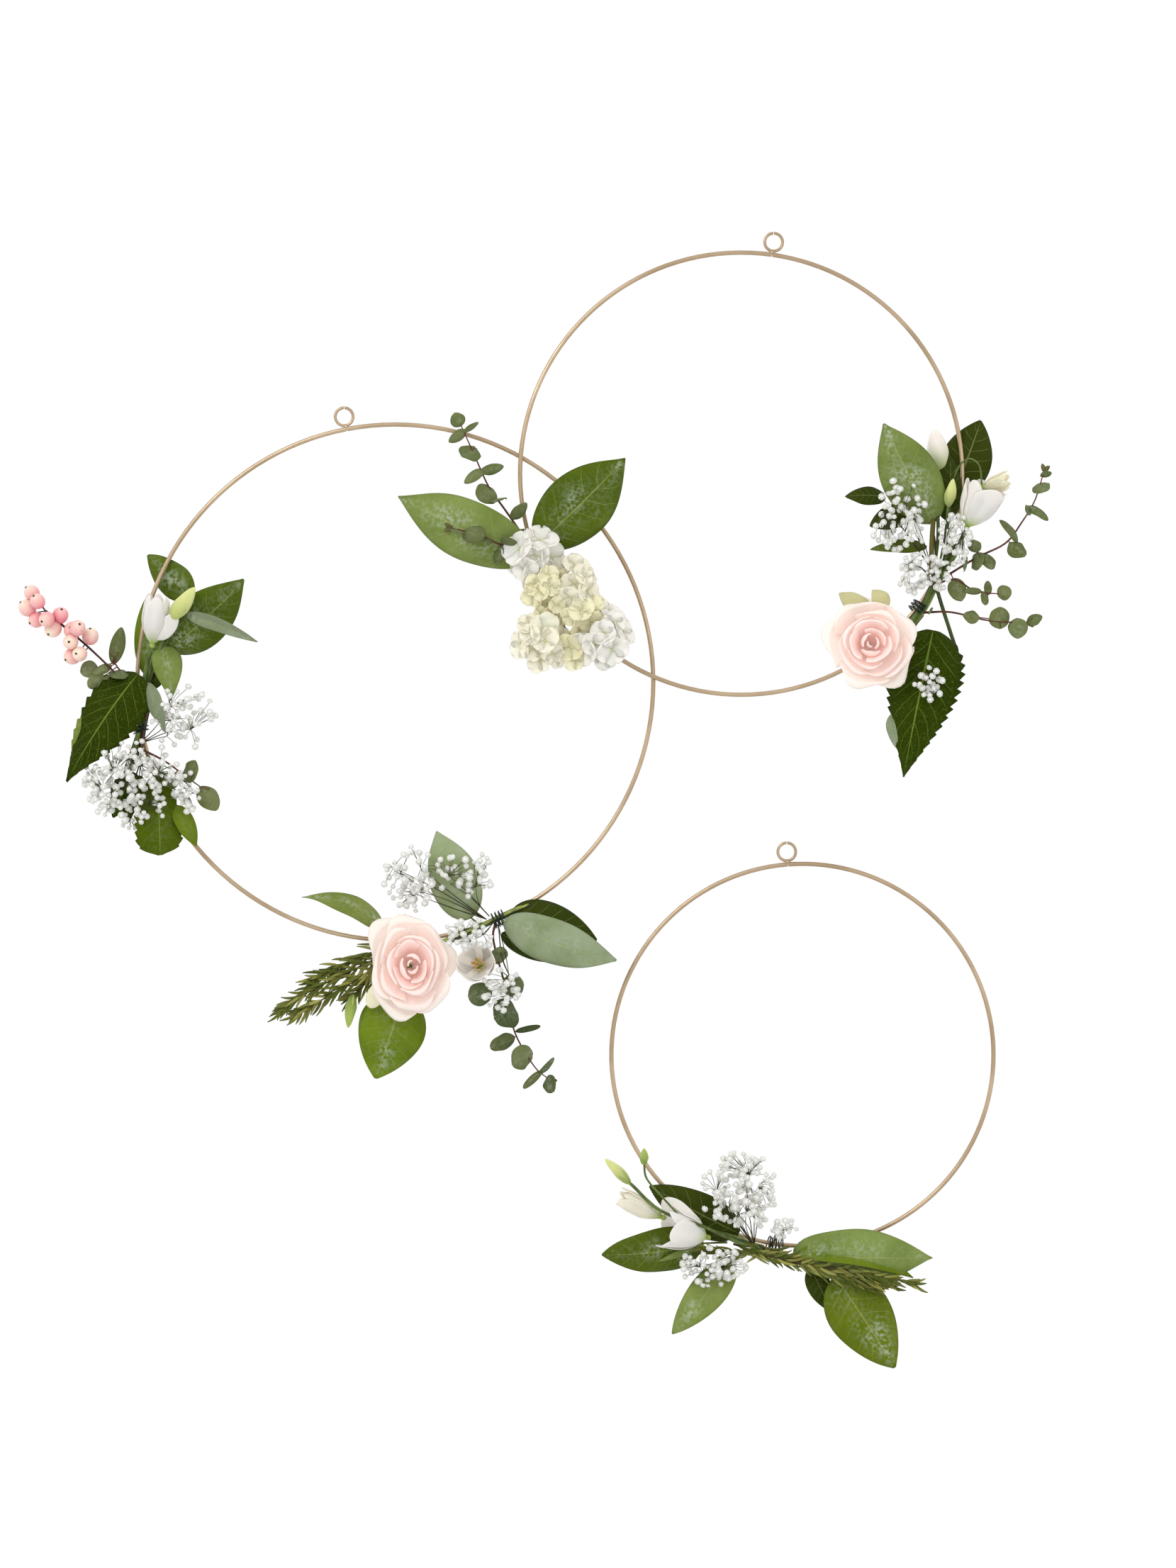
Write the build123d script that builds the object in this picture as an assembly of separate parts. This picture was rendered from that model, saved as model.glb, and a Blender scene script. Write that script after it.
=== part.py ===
"""Set of three hanging wreath frames: wire hoops with hanging rings, dressed with wired posies.

+Z is up, the hoops stand in XZ planes and the front faces -Y. The origin is the middle of the
large frame's hanging ring. Millimetres.
"""
from build123d import *
from math import cos, pi, radians, sin
import os

# ---- driving dimensions ----
WIRE_D = 3.0  # hoop wire
BUTT_GAP = 0.5  # open joint where a bent wire's ends meet
RING_WIRE_D = 2.0
RING_HOLE_D = 10.0
BRAZE_D = 3.6  # bead that joins ring and hoop
LARGE_OD, MEDIUM_OD, SMALL_OD = 350.0, 300.0, 260.0
MEDIUM_RING = (288.7, 116.9)  # ring hole's x and z
SMALL_RING = (297.7, -292.6)
MEDIUM_PLANE = -3.4  # y of the medium hoop, which hangs in front of the large one
# how far each hoop's centre hangs off the plumb line under its ring, towards +X
LARGE_LEAN, MEDIUM_LEAN, SMALL_LEAN = 10.9, -8.0, 4.4

BUNDLE_D = 8.0  # a posy's bound stems
BUNDLE_Y = -6.2  # bundle's centre in front of its hoop
BINDING_D = 0.8
BINDING_PITCH = 2.2
LEAF_T = 0.8
STEM_D = 2.0
CUT_STEM_D = 2.6
TWIG_D = 1.4
LEAF_STALK_D = 1.0  # stalk of one eucalyptus leaf
BERRY_D = 9.5
BINDING_SLACK = 0.1  # between the binding wire and what it wraps
STALK_RUN = 0.12  # how far a stalk runs on along its leaf, as a share of the leaf
PAD_ROUNDING = 0.42  # edge radius of a flower mass, as a share of its least side
FOOT_WIDTH = 0.28  # an open flower's foot, as a share of its width
RIM_ROUNDING = 0.35  # an open flower's rim radius, as a share of its depth
BOWL_DEPTH = 0.6  # the widening part of an open flower, as a share of its depth

parts = {}


# ---- helpers ----
def at(hoop, angle):
    """Point on a hoop's centreline, where its posy is bound."""
    x, y, z, radius = hoop
    return Vector(x + radius * cos(radians(angle)), y, z + radius * sin(radians(angle)))


def place(anchor, points):
    """Local points, right, forward (minus y) and up from a posy's anchor, as space points."""
    return [anchor + Vector(x, y, z) for x, y, z in points]


def rod(points, diameter):
    """A bent rod through the points, with round elbows."""
    solid = Sphere(diameter / 2).moved(Location(points[0]))
    for a, b in zip(points, points[1:]):
        run = Plane(origin=a, z_dir=b - a) * Cylinder(
            diameter / 2, (b - a).length, align=(Align.CENTER, Align.CENTER, Align.MIN))
        solid = solid + run + Sphere(diameter / 2).moved(Location(b))
    return solid


def facing(origin, along, lean):
    """Plane whose x runs along a leaf and whose normal faces the front, rolled by lean degrees."""
    along = along.normalized()
    front = Vector(0, -1, 0)
    normal = (front - along * front.dot(along)).normalized()
    return Plane(origin=origin, x_dir=along, z_dir=normal).rotated((lean, 0, 0))


def blade(base, tip, width, lean=0.0):
    """A leaf blade: a plate from base to tip, pointed at both ends, with two arcs for edges."""
    length = (tip - base).length
    upper = ThreePointArc((0, 0), (length / 2, width / 2), (length, 0))
    lower = ThreePointArc((length, 0), (length / 2, -width / 2), (0, 0))
    face = make_face(upper + lower)
    return facing(base, tip - base, lean) * extrude(face, LEAF_T / 2, both=True)


def leaf(anchor, base, tip, width, lean=0.0, root=None):
    """A blade with its stalk, which runs back to root where that is given."""
    base, tip = place(anchor, [base, tip])
    solid = blade(base, tip, width, lean)
    if root:
        stalk_end = base + (tip - base) * STALK_RUN
        solid = solid + rod([place(anchor, [root])[0], base, stalk_end], STEM_D)
    return solid


def oval(width, height):
    """A flat outline of two straight sides and two half circles, or a circle."""
    if width == height:
        return Circle(width / 2)
    if width > height:
        return SlotOverall(width, height)
    return SlotOverall(height, width, rotation=90)


def coin(anchor, centre, width, height, lean=0.0, roll=0.0):
    """A round eucalyptus leaf: an oval plate."""
    outline = oval(width, height)
    plate = extrude(outline, LEAF_T / 2, both=True)
    return Location(place(anchor, [centre])[0]) * Rot(0, roll, 0) * Rot(90 + lean, 0, 0) * plate


def sprig(anchor, stem, leaves):
    """A thin twig with round leaves set on it."""
    solid = rod(place(anchor, stem), TWIG_D)
    for centre, width, height, lean, roll in leaves:
        nearest = min(place(anchor, stem), key=lambda p: (p - place(anchor, [centre])[0]).length)
        solid = solid + coin(anchor, centre, width, height, lean, roll)
        solid = solid + rod([nearest, place(anchor, [centre])[0]], LEAF_STALK_D)
    return solid


def lump(anchor, centre, size, roll=0.0):
    """A rounded mass of small flowers, or a closed bud: size is width, depth and height."""
    width, depth, height = size
    pad = extrude(oval(width, height), depth / 2, both=True)
    rims = pad.edges().filter_by(Plane.XY)
    pad = fillet(rims, PAD_ROUNDING * min(size))
    return Location(place(anchor, [centre])[0]) * Rot(0, roll, 0) * Rot(90, 0, 0) * pad


def bloom(anchor, centre, width, depth):
    """An open flower facing the front: a bowl of petals that narrows to the stem behind it."""
    rim_depth = depth * (1 - BOWL_DEPTH)
    bowl = Cone(FOOT_WIDTH * width, width / 2, BOWL_DEPTH * depth)
    bowl = bowl + Pos(0, 0, depth / 2) * Cylinder(width / 2, rim_depth)
    rim = bowl.edges().group_by(Axis.Z)[-1]
    bowl = fillet(rim, RIM_ROUNDING * depth)
    return Location(place(anchor, [centre])[0]) * Rot(90, 0, 0) * Pos(0, 0, -rim_depth / 2) * bowl


def bundle(anchor, points):
    """The bound stems of a posy, lying along the front of its hoop."""
    return rod(place(anchor, points), BUNDLE_D)


def binding(hoop, angle, shift, wraps):
    """Wire wraps round a hoop and the bundle in front of it, shift being along the hoop."""
    loops = []
    half_depth = (WIRE_D / 2 - BUNDLE_Y + BUNDLE_D / 2 + BINDING_D) / 2 + BINDING_SLACK
    half_width = (BUNDLE_D + BINDING_D) / 2 + BINDING_SLACK
    middle_y = (WIRE_D / 2 + BUNDLE_Y - BUNDLE_D / 2) / 2
    for turn in range(wraps):
        along = shift + (turn - (wraps - 1) / 2) * BINDING_PITCH
        turned = angle + along / hoop[3] * 180 / pi
        spot = at(hoop, turned) + Vector(0, middle_y, 0)
        outward = Vector(cos(radians(turned)), 0, sin(radians(turned)))
        plane = Plane(origin=spot, x_dir=outward, z_dir=outward.cross(Vector(0, 1, 0)))
        track = SlotOverall(2 * half_depth, 2 * half_width, rotation=90)
        ring = plane * track.face().outer_wire()
        start = Plane(origin=ring.position_at(0), z_dir=ring.tangent_at(0))
        loops.append(sweep(start * Circle(BINDING_D / 2), path=ring))
    return loops


# ---- frames ----
def frame(name, ring_x, ring_z, outer_d, lean, y):
    """One hoop with its hanging ring. Returns the hoop's centre and radius."""
    radius = (outer_d - WIRE_D) / 2
    reach = RING_HOLE_D / 2 + RING_WIRE_D + WIRE_D / 2 + radius
    x = ring_x + reach * sin(radians(lean))
    z = ring_z - reach * cos(radians(lean))
    upright = Rot(90, 0, 0)
    ring_radius = (RING_HOLE_D + RING_WIRE_D) / 2
    joint_at = 90 + lean  # the hoop's butt joint lies under its ring

    def bent_wire(centre, bend_radius, wire_d, gap_at):
        loop = upright * Torus(bend_radius, wire_d / 2)
        gap = Box(2 * wire_d, 2 * wire_d, BUTT_GAP)
        turn = Rot(0, -gap_at, 0)
        return Location(centre) * (loop - turn * Location((bend_radius, 0, 0)) * gap)

    hoop = bent_wire((x, y, z), radius, WIRE_D, joint_at)
    ring = bent_wire((ring_x, y, ring_z), ring_radius, RING_WIRE_D, 90)
    joint = at((x, y, z, radius + WIRE_D / 2), joint_at)
    bead = Sphere(BRAZE_D / 2).moved(Location(joint)) - hoop - ring
    parts[f"{name}_hoop"] = [hoop]
    parts[f"{name}_hanging_ring"] = [ring]
    parts[f"{name}_ring_braze"] = bead.solids()
    return x, y, z, radius


large = frame("large", 0.0, 0.0, LARGE_OD, LARGE_LEAN, 0.0)
medium = frame("medium", *MEDIUM_RING, MEDIUM_OD, MEDIUM_LEAN, MEDIUM_PLANE)
small = frame("small", *SMALL_RING, SMALL_OD, SMALL_LEAN, 0.0)


# ---- large frame, left posy: snowberries and toothed leaves ----
def large_left():
    angle = 190.9
    a = at(large, angle)
    core = BUNDLE_Y
    parts["large_left_stem_bundle"] = [bundle(a, [(8, core, 40), (0, core, 3), (-2, core, -18)])]
    parts["large_left_binding_wire"] = binding(large, angle, -3, 5)
    berries = [(-71, -20, 92), (-74, -20, 82), (-66, -28, 86), (-68, -20, 74), (-60, -28, 74),
               (-52, -20, 77), (-57, -20, 68), (-44, -20, 67), (-39, -32, 68), (-32, -20, 63),
               (-44, -28, 59), (-44, -20, 50), (-38, -28, 51)]
    parts["large_left_snowberries"] = [
        Sphere(BERRY_D / 2).moved(Location(spot)) for spot in place(a, berries)]
    twig = [(-51, -18, 69), (-36, -16, 56), (-15, -14, 37), (-1, -6, 12)]
    parts["large_left_berry_twig"] = [rod(place(a, twig), TWIG_D)]
    parts["large_left_eucalyptus"] = [
        sprig(a, [(2, -8, 20), (-12, -10, 42), (-21, -11, 66)],
              [((-21, -11, 61), 10, 26, 0, 10), ((-15, -12, 44), 12, 12, 0, 0),
               ((-34, -12, 40), 13, 12, 0, 0)]),
        sprig(a, [(2, -9, -14), (22, -7, -24), (44, -6, -44)],
              [((24, -7, -27), 15, 15, 0, 0), ((43, -6, -42), 13, 19, 0, -20)])]
    parts["large_left_salal_leaves"] = [
        leaf(a, (24, 4, 86), (1, 7, 120), 24),
        leaf(a, (19, -4, 57), (68, -12, 102), 33, 10, root=(3, -4.5, 26)),
        leaf(a, (18, -11, 57), (17, -19, 24), 17, 0, root=(8, -8.5, 38)),
        leaf(a, (7, 3.2, 40), (-4, 6, 92), 24)]
    parts["large_left_folded_leaf"] = [
        leaf(a, (28, -14, 76), (78, -24, 61), 16, -40, root=(20, -13, 70))]
    parts["large_left_toothed_leaf"] = [
        leaf(a, (-3, -13, 34), (-49, -24, -32), 36, 12, root=(0, -8, 38))]
    parts["large_left_low_leaves"] = [
        leaf(a, (8, -9, -38), (10, -14, -82), 29, 0, root=(0, -7, -16)),
        leaf(a, (-12, -6, -30), (-24, -8, -55), 16),
        leaf(a, (28, -10, -54), (34, -12, -77), 12)]
    parts["large_left_lisianthus"] = [lump(a, (9, -22, 77), (26, 20, 34), -10)]
    parts["large_left_lisianthus_bud"] = [lump(a, (33, -30, 90), (13, 12, 26), 45)]
    parts["large_left_gypsophila"] = [
        lump(a, (31, -20, 8), (42, 26, 42)), lump(a, (-3, -26, -36), (60, 22, 44)),
        lump(a, (42, -18, -30), (24, 18, 30))]


# ---- large frame, low posy: rose and salal ----
def large_low():
    angle = 293.6
    a = at(large, angle)
    core = BUNDLE_Y
    parts["large_low_stem_bundle"] = [bundle(a, [(-36, core, -15), (0, core, 0), (19, core, 8)])]
    parts["large_low_binding_wire"] = binding(large, angle, 2, 6)
    parts["large_low_rose"] = [bloom(a, (-56, -32, -28), 68, 42)]
    parts["large_low_lisianthus"] = [bloom(a, (-8, -28, -28), 24, 18)]
    parts["large_low_lisianthus_bud"] = [lump(a, (-96, -16, -60), (11, 11, 24))]
    parts["large_low_salal_left"] = [
        leaf(a, (-22, -5, 2), (-39, -10, 60), 35, 4, root=(-10, -6, -4)),
        leaf(a, (-80, -5, -5), (-130, -12, 17), 18, 25),
        leaf(a, (-60, -7, -52), (-80, -12, -104), 42, 5)]
    parts["large_low_salal_right"] = [
        leaf(a, (9, -14, 2), (81, -22, -25), 31, 15, root=(6, -8, 2)),
        leaf(a, (14, -5, 6), (66, -8, -18), 24)]
    parts["large_low_rosemary"] = [
        lump(a, (-126, -15, -54), (66, 6, 12), -28)]
    parts["large_low_gypsophila"] = [
        lump(a, (-58, -26, 31), (36, 18, 40)), lump(a, (-19, -26, 35), (34, 18, 32)),
        lump(a, (-4, -34, 0), (26, 14, 20)), lump(a, (16, -30, -47), (20, 14, 30))]
    stem = [(-4, -8, 0), (0, -12, -30), (8, -13, -60), (17, -12, -85), (33, -11, -107)]
    parts["large_low_eucalyptus"] = [sprig(a, stem, [
        ((3, -14, -23), 12, 12, 0, 0), ((-8, -14, -50), 15, 15, 0, 0), ((6, -14, -62), 20, 20, 0, 0),
        ((5, -14, -82), 13, 18, 0, 0), ((22, -13, -71), 8, 20, 0, -35),
        ((20, -12, -92), 15, 15, 0, 0), ((34, -12, -96), 7, 20, 0, -30),
        ((25, -12, -107), 6, 15, 0, 0), ((37, -12, -109), 11, 13, 0, 0)])]


# ---- medium frame, left posy: hydrangea ----
def medium_left():
    angle = 206.3
    a = at(medium, angle)
    core = BUNDLE_Y
    parts["medium_left_stem_bundle"] = [bundle(a, [(-12, core, 24), (0, core, 0), (7, core, -13)])]
    parts["medium_left_binding_wire"] = binding(medium, angle, 2, 4)
    parts["medium_left_hydrangea"] = [
        lump(a, (-6, -26, 10), (36, 22, 24)), lump(a, (14, -28, -14), (32, 24, 28)),
        lump(a, (40, -26, -42), (34, 22, 34)), lump(a, (-1, -25, -47), (36, 22, 30))]
    parts["medium_left_hydrangea_stalks"] = [
        rod(place(a, [(0, -8, 0), (2, -13, -8), (14, -18, -24), (30, -18, -36)]), STEM_D)]
    parts["medium_left_salal_right"] = [
        leaf(a, (-1, -12, 20), (54, -22, 75), 45, 10, root=(-5, -8, 12))]
    parts["medium_left_salal_left"] = [
        leaf(a, (-12, -8, 14), (-96, -20, 50), 38, -10, root=(-5, -7, 10))]
    parts["medium_left_eucalyptus"] = [sprig(
        a, [(-13, -7, 24), (-26, -6, 42), (-42, -6, 71), (-57, -7, 100)],
        [((-58, -7, 103), 5, 14, 0, 0), ((-50, -7, 90), 12, 12, 0, 0),
         ((-34, -7, 69), 14, 12, 0, 0), ((-46, -7, 65), 12, 12, 0, 0),
         ((-35, -7, 52), 14, 13, 0, 0), ((-18, -7, 42), 13, 12, 0, 0)]), sprig(
        a, [(-9, -9, 14), (-29, -19, 17), (-60, -23, 26)],
        [((-50, -23, 26), 11, 9, 0, 0), ((-27, -21, 20), 11, 10, 0, 0), ((-31, -21, 10), 9, 9, 0, 0)])]


# ---- medium frame, right posy: rose, toothed leaf and eucalyptus ----
def medium_right():
    angle = 323.8
    a = at(medium, angle)
    core = BUNDLE_Y
    parts["medium_right_stem_bundle"] = [bundle(a, [(22, core, 34), (5, core, 4), (-6, core, -10)])]
    parts["medium_right_binding_wire"] = binding(medium, angle, -2, 5)
    parts["medium_right_rose"] = [bloom(a, (-30, -36, -27), 68, 44)]
    parts["medium_right_toothed_leaf"] = [
        leaf(a, (6, -11, -22), (-9, -22, -114), 46, 8, root=(3, -7, -8))]
    parts["medium_right_salal_front"] = [
        leaf(a, (15, -10, 57), (-22, -20, 119), 36, -8, root=(16, -7, 30)),
        leaf(a, (-20, -12, 71), (-46, -14, 72), 12)]
    parts["medium_right_salal_back"] = [leaf(a, (30, 3.2, 82), (46, 5, 125), 32, 0)]
    parts["medium_right_lisianthus"] = [lump(a, (46, -24, 68), (28, 24, 32), -30)]
    parts["medium_right_lisianthus_buds"] = [
        lump(a, (17, -4.5, 106), (13, 8, 23)), lump(a, (64, -20, 88), (20, 13, 15)),
        lump(a, (20, -24, 80), (8, 8, 20))]
    parts["medium_right_gypsophila"] = [
        lump(a, (-12, -26, 54), (38, 20, 46)), lump(a, (24, -24, 38), (16, 18, 22)),
        lump(a, (6, -25, 16), (28, 20, 20)), lump(a, (15, -24, -56), (20, 16, 26))]
    parts["medium_right_eucalyptus"] = [sprig(
        a, [(16, -8, 20), (45, -11, 32), (73, -11, 54), (85, -11, 91)],
        [((43, -12, 38), 10, 10, 0, 0), ((31, -12, 23), 10, 10, 0, 0),
         ((49, -12, 26), 10, 10, 0, 0), ((62, -12, 48), 13, 13, 0, 0),
         ((68, -12, 37), 12, 12, 0, 0), ((75, -12, 63), 12, 12, 0, 0),
         ((83, -12, 58), 11, 11, 0, 0), ((82, -12, 77), 11, 15, 0, 0),
         ((88, -12, 86), 9, 14, 0, 0)]), sprig(
        a, [(12, -9, 8), (35, -14, 9), (56, -15, 4)],
        [((26, -15, 10), 10, 8, 0, 0), ((46, -16, 3), 11, 10, 0, 0),
         ((57, -16, 5), 10, 9, 0, 0)]), sprig(
        a, [(6, -9, -6), (35, -14, -9), (80, -16, -14)],
        [((38, -15, -9), 12, 11, 0, 0), ((57, -16, -10), 14, 11, 0, 0),
         ((70, -17, -17), 12, 10, 0, 0), ((80, -17, -11), 11, 10, 0, 0)])]
    parts["medium_right_cut_stem"] = [rod(place(a, [(14, -5, 16), (31, -4.5, -36)]), CUT_STEM_D)]


# ---- small frame, low posy: lisianthus between salal leaves ----
def small_low():
    angle = 262.4
    a = at(small, angle)
    core = BUNDLE_Y
    parts["small_low_stem_bundle"] = [bundle(a, [(-36, core, 4), (0, core, -5), (42, core, -22)])]
    parts["small_low_binding_wire"] = binding(small, angle, 1, 6)
    parts["small_low_salal_left"] = [
        leaf(a, (-50, -7, -2), (-116, -12, -6), 30, -10, root=(-34, -6, 2)),
        leaf(a, (-28, -13, -8), (-69, -20, -57), 23, 0, root=(-22, -8, -2)),
        leaf(a, (-28, -4, 10), (-84, -6, 38), 26, 0)]
    parts["small_low_salal_right"] = [
        leaf(a, (16, -15, -4), (107, -24, -3), 30, 20, root=(3, -9, -6)),
        leaf(a, (21, -8, -12), (88, -9, -19), 20, -20, root=(13, -6, -10))]
    parts["small_low_salal_lower_right"] = [
        leaf(a, (46, -14, -25), (80, -22, -79), 37, 0, root=(36, -8, -21)),
        leaf(a, (25, -4, -16), (36, -6, -46), 15)]
    parts["small_low_lisianthus"] = [lump(a, (-76, -24, 24), (42, 24, 30), 25)]
    parts["small_low_lisianthus_buds"] = [
        lump(a, (-106, -34, 53), (8, 8, 24), -50), lump(a, (-88, -36, 62), (8, 8, 13))]
    bud_stem = [(-97, -34, 45), (-84, -40, 38), (-55, -38, 20), (-24, -22, 2), (-2, -9, -6)]
    parts["small_low_bud_stem"] = [rod(place(a, bud_stem), TWIG_D)]
    parts["small_low_gypsophila"] = [
        lump(a, (-23, -24, 40), (46, 20, 50)), lump(a, (4, -21, 14), (22, 16, 18)),
        lump(a, (-46, -30, -10), (42, 16, 26))]
    parts["small_low_rosemary"] = [lump(a, (50, -31, -13), (124, 6, 9), 11)]


for posy in (large_left, large_low, medium_left, medium_right, small_low):
    posy()

os.makedirs("parts", exist_ok=True)
for old in os.listdir("parts"):
    os.remove(os.path.join("parts", old))
for node, shapes in parts.items():
    solids = [solid for shape in shapes for solid in shape.solids()]
    shape = solids[0] if len(solids) == 1 else Compound(children=solids)
    export_step(shape, f"parts/{node}.step")
print(len(parts), "nodes written")
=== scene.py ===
"""Looks for the set of three hanging wreath frames: gold wire hoops and five wired posies.

Every posy is built in millimetres from its anchor, the point of its hoop where it is bound:
right, forward (minus y) and up. The hoops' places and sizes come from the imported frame.
"""
import math
import random

import bpy
import numpy as np
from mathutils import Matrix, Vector


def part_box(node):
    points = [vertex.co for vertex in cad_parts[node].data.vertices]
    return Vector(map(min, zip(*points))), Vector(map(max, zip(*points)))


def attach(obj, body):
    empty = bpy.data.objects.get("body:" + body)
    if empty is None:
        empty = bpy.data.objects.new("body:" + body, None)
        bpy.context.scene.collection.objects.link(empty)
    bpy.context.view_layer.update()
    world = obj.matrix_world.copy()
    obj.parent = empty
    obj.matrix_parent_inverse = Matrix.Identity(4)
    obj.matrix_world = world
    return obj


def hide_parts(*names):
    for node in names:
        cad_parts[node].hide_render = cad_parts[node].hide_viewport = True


MM = 0.001
FRONT = np.array([0.0, -1.0, 0.0])
UP = np.array([0.0, 0.0, 1.0])
GOLDEN_ANGLE = 2.39996  # radians between neighbours on an even spiral
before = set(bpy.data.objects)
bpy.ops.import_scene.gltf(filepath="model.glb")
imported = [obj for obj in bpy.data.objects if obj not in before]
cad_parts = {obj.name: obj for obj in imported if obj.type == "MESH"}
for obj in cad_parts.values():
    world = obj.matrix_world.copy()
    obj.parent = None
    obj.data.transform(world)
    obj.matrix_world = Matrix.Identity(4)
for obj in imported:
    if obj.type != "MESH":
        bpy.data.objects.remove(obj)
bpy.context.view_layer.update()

# ---- colours, linear ----
SALAL_DARK = (0.032, 0.048, 0.006)
SALAL_MID = (0.080, 0.118, 0.008)
SALAL_LIGHT = (0.190, 0.242, 0.062)
SALAL_FROSTED = (0.300, 0.360, 0.230)
SALAL_BRIGHT = (0.130, 0.185, 0.010)
TOOTHED = (0.020, 0.036, 0.001)
TOOTHED_BRIGHT = (0.070, 0.105, 0.002)
SILVERY = (0.25, 0.30, 0.21)
EUCALYPTUS = (0.125, 0.150, 0.055)
EUCALYPTUS_PALE = (0.205, 0.235, 0.115)
EUCALYPTUS_DARK = (0.050, 0.072, 0.030)
RED_STEM = (0.150, 0.038, 0.024)
GREEN_STEM = (0.120, 0.185, 0.036)
OLIVE_STEM = (0.060, 0.058, 0.020)
DARK_RED_STEM = (0.085, 0.022, 0.014)
ROSEMARY = (0.085, 0.105, 0.014)
ROSEMARY_STRAW = (0.380, 0.360, 0.100)
ROSE_OUTER = (0.890, 0.770, 0.690)
ROSE_INNER = (0.950, 0.680, 0.640)
WHITE = (0.800, 0.760, 0.710)
CREAM = (0.800, 0.740, 0.500)
LIME = (0.300, 0.470, 0.030)
BUD_GREEN = (0.330, 0.430, 0.100)
LIME_CREAM = (0.600, 0.640, 0.260)
ANTHER = (0.420, 0.230, 0.040)
SEPAL = (0.480, 0.480, 0.250)
FLORET = (0.840, 0.830, 0.775)
FLORET_HEART = (0.560, 0.580, 0.270)
HYDRANGEA = (0.850, 0.790, 0.500)
HYDRANGEA_WHITE = (0.860, 0.825, 0.745)
BERRY_PINK = (0.800, 0.230, 0.310)
BERRY_CREAM = (0.880, 0.760, 0.600)
BERRY_TIP = (0.020, 0.010, 0.008)
BINDING = (0.010, 0.032, 0.024)


# ---- mesh building ----
class Shape:
    """Closed pieces of mesh, with a colour and two running measures at each vertex."""

    def __init__(self):
        self.verts, self.faces, self.tones, self.along, self.across = [], [], [], [], []

    def add(self, verts, faces, tones, along=None, across=None):
        start = len(self.verts)
        count = len(verts)
        tones = np.broadcast_to(np.asarray(tones, float), (count, 3))
        self.verts.extend(map(tuple, verts))
        self.faces.extend(tuple(start + i for i in face) for face in faces)
        self.tones.extend(map(tuple, tones))
        self.along.extend(np.zeros(count) if along is None else along)
        self.across.extend(np.zeros(count) if across is None else across)

    def build(self, name, material, body, slot, nodes):
        mesh = bpy.data.meshes.new(name)
        mesh.from_pydata(self.verts, [], self.faces)
        tone = mesh.attributes.new("tone", "FLOAT_COLOR", "POINT")
        tone.data.foreach_set("color", np.c_[self.tones, np.ones(len(self.tones))].ravel())
        for label, values in (("along", self.along), ("across", self.across)):
            mesh.attributes.new(label, "FLOAT", "POINT").data.foreach_set("value", values)
        mesh.polygons.foreach_set("use_smooth", [True] * len(mesh.polygons))
        mesh.materials.append(material)
        mesh.update()
        piece = bpy.data.objects.new(name, mesh)
        bpy.context.scene.collection.objects.link(piece)
        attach(piece, body)
        if nodes:
            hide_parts(*nodes)


def stamp(shape, pattern, centre, normal, size, spin):
    """A turned and scaled copy of a small shape whose own axis is +Z."""
    side = turned(square_to(normal, UP), normal, spin)
    turn = np.stack([side, np.cross(normal, side), normal])
    shape.add(np.array(pattern.verts) * size @ turn + centre, pattern.faces, pattern.tones)


def unit(vector):
    return vector / max(np.linalg.norm(vector), 1e-9)


def turned(vector, axis, angle):
    """vector turned about a unit axis by an angle in radians."""
    return (vector * math.cos(angle) + np.cross(axis, vector) * math.sin(angle)
            + axis * np.dot(axis, vector) * (1 - math.cos(angle)))


def around(axis, count, start=0.0):
    """Unit vectors square to axis, spaced evenly round it."""
    side = square_to(axis, UP)
    return [turned(side, axis, k * 2 * math.pi / count + start) for k in range(count)]


def square_to(direction, hint=FRONT):
    """The unit vector square to direction that is nearest to hint."""
    flat = hint - direction * np.dot(hint, direction)
    if np.linalg.norm(flat) < 1e-3:
        flat = UP - direction * direction[2]
    return unit(flat)


def mixed(first, second, share):
    return tuple(a * (1 - share) + b * share for a, b in zip(first, second))


def varied(tone, rng, amount=0.12):
    """The tone a little lighter or darker, and a little warmer or cooler."""
    light = 1 + rng.uniform(-amount, amount)
    warm = rng.uniform(-amount, amount) * 0.4
    return (tone[0] * (light + warm), tone[1] * light, tone[2] * (light - warm))


def sheet(shape, grid, thickness, tones, back=None, along=None, across=None):
    """A thin closed sheet over a grid of points, its second face towards the back."""
    rows, columns = grid.shape[:2]
    d_row = np.gradient(grid, axis=0)
    d_column = np.gradient(grid, axis=1)
    normal = np.cross(d_row, d_column)
    normal /= np.maximum(np.linalg.norm(normal, axis=2, keepdims=True), 1e-12)
    verts = np.concatenate([(grid + normal * thickness / 2).reshape(-1, 3),
                            (grid - normal * thickness / 2).reshape(-1, 3)])
    size = rows * columns
    index = np.arange(size).reshape(rows, columns)
    faces = []
    for i in range(rows - 1):
        for j in range(columns - 1):
            a, b, c, d = index[i, j], index[i + 1, j], index[i + 1, j + 1], index[i, j + 1]
            faces.append((a, b, c, d))
            faces.append((d + size, c + size, b + size, a + size))
    edge = list(index[:, 0]) + list(index[-1, 1:]) + list(index[-2::-1, -1]) + list(index[0, -2:0:-1])
    for a, b in zip(edge, edge[1:] + edge[:1]):
        faces.append((b, a, a + size, b + size))
    tones = np.broadcast_to(np.asarray(tones, float), (rows, columns, 3)).reshape(-1, 3)
    behind = tones if back is None else tones * 0.35 + np.asarray(back) * 0.65
    along = np.linspace(0, 1, rows)[:, None].repeat(columns, 1) if along is None else along
    across = np.linspace(-1, 1, columns)[None].repeat(rows, 0) if across is None else across
    shape.add(verts, faces, np.concatenate([tones, behind]),
              np.tile(along.ravel(), 2), np.tile(across.ravel(), 2))


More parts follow.
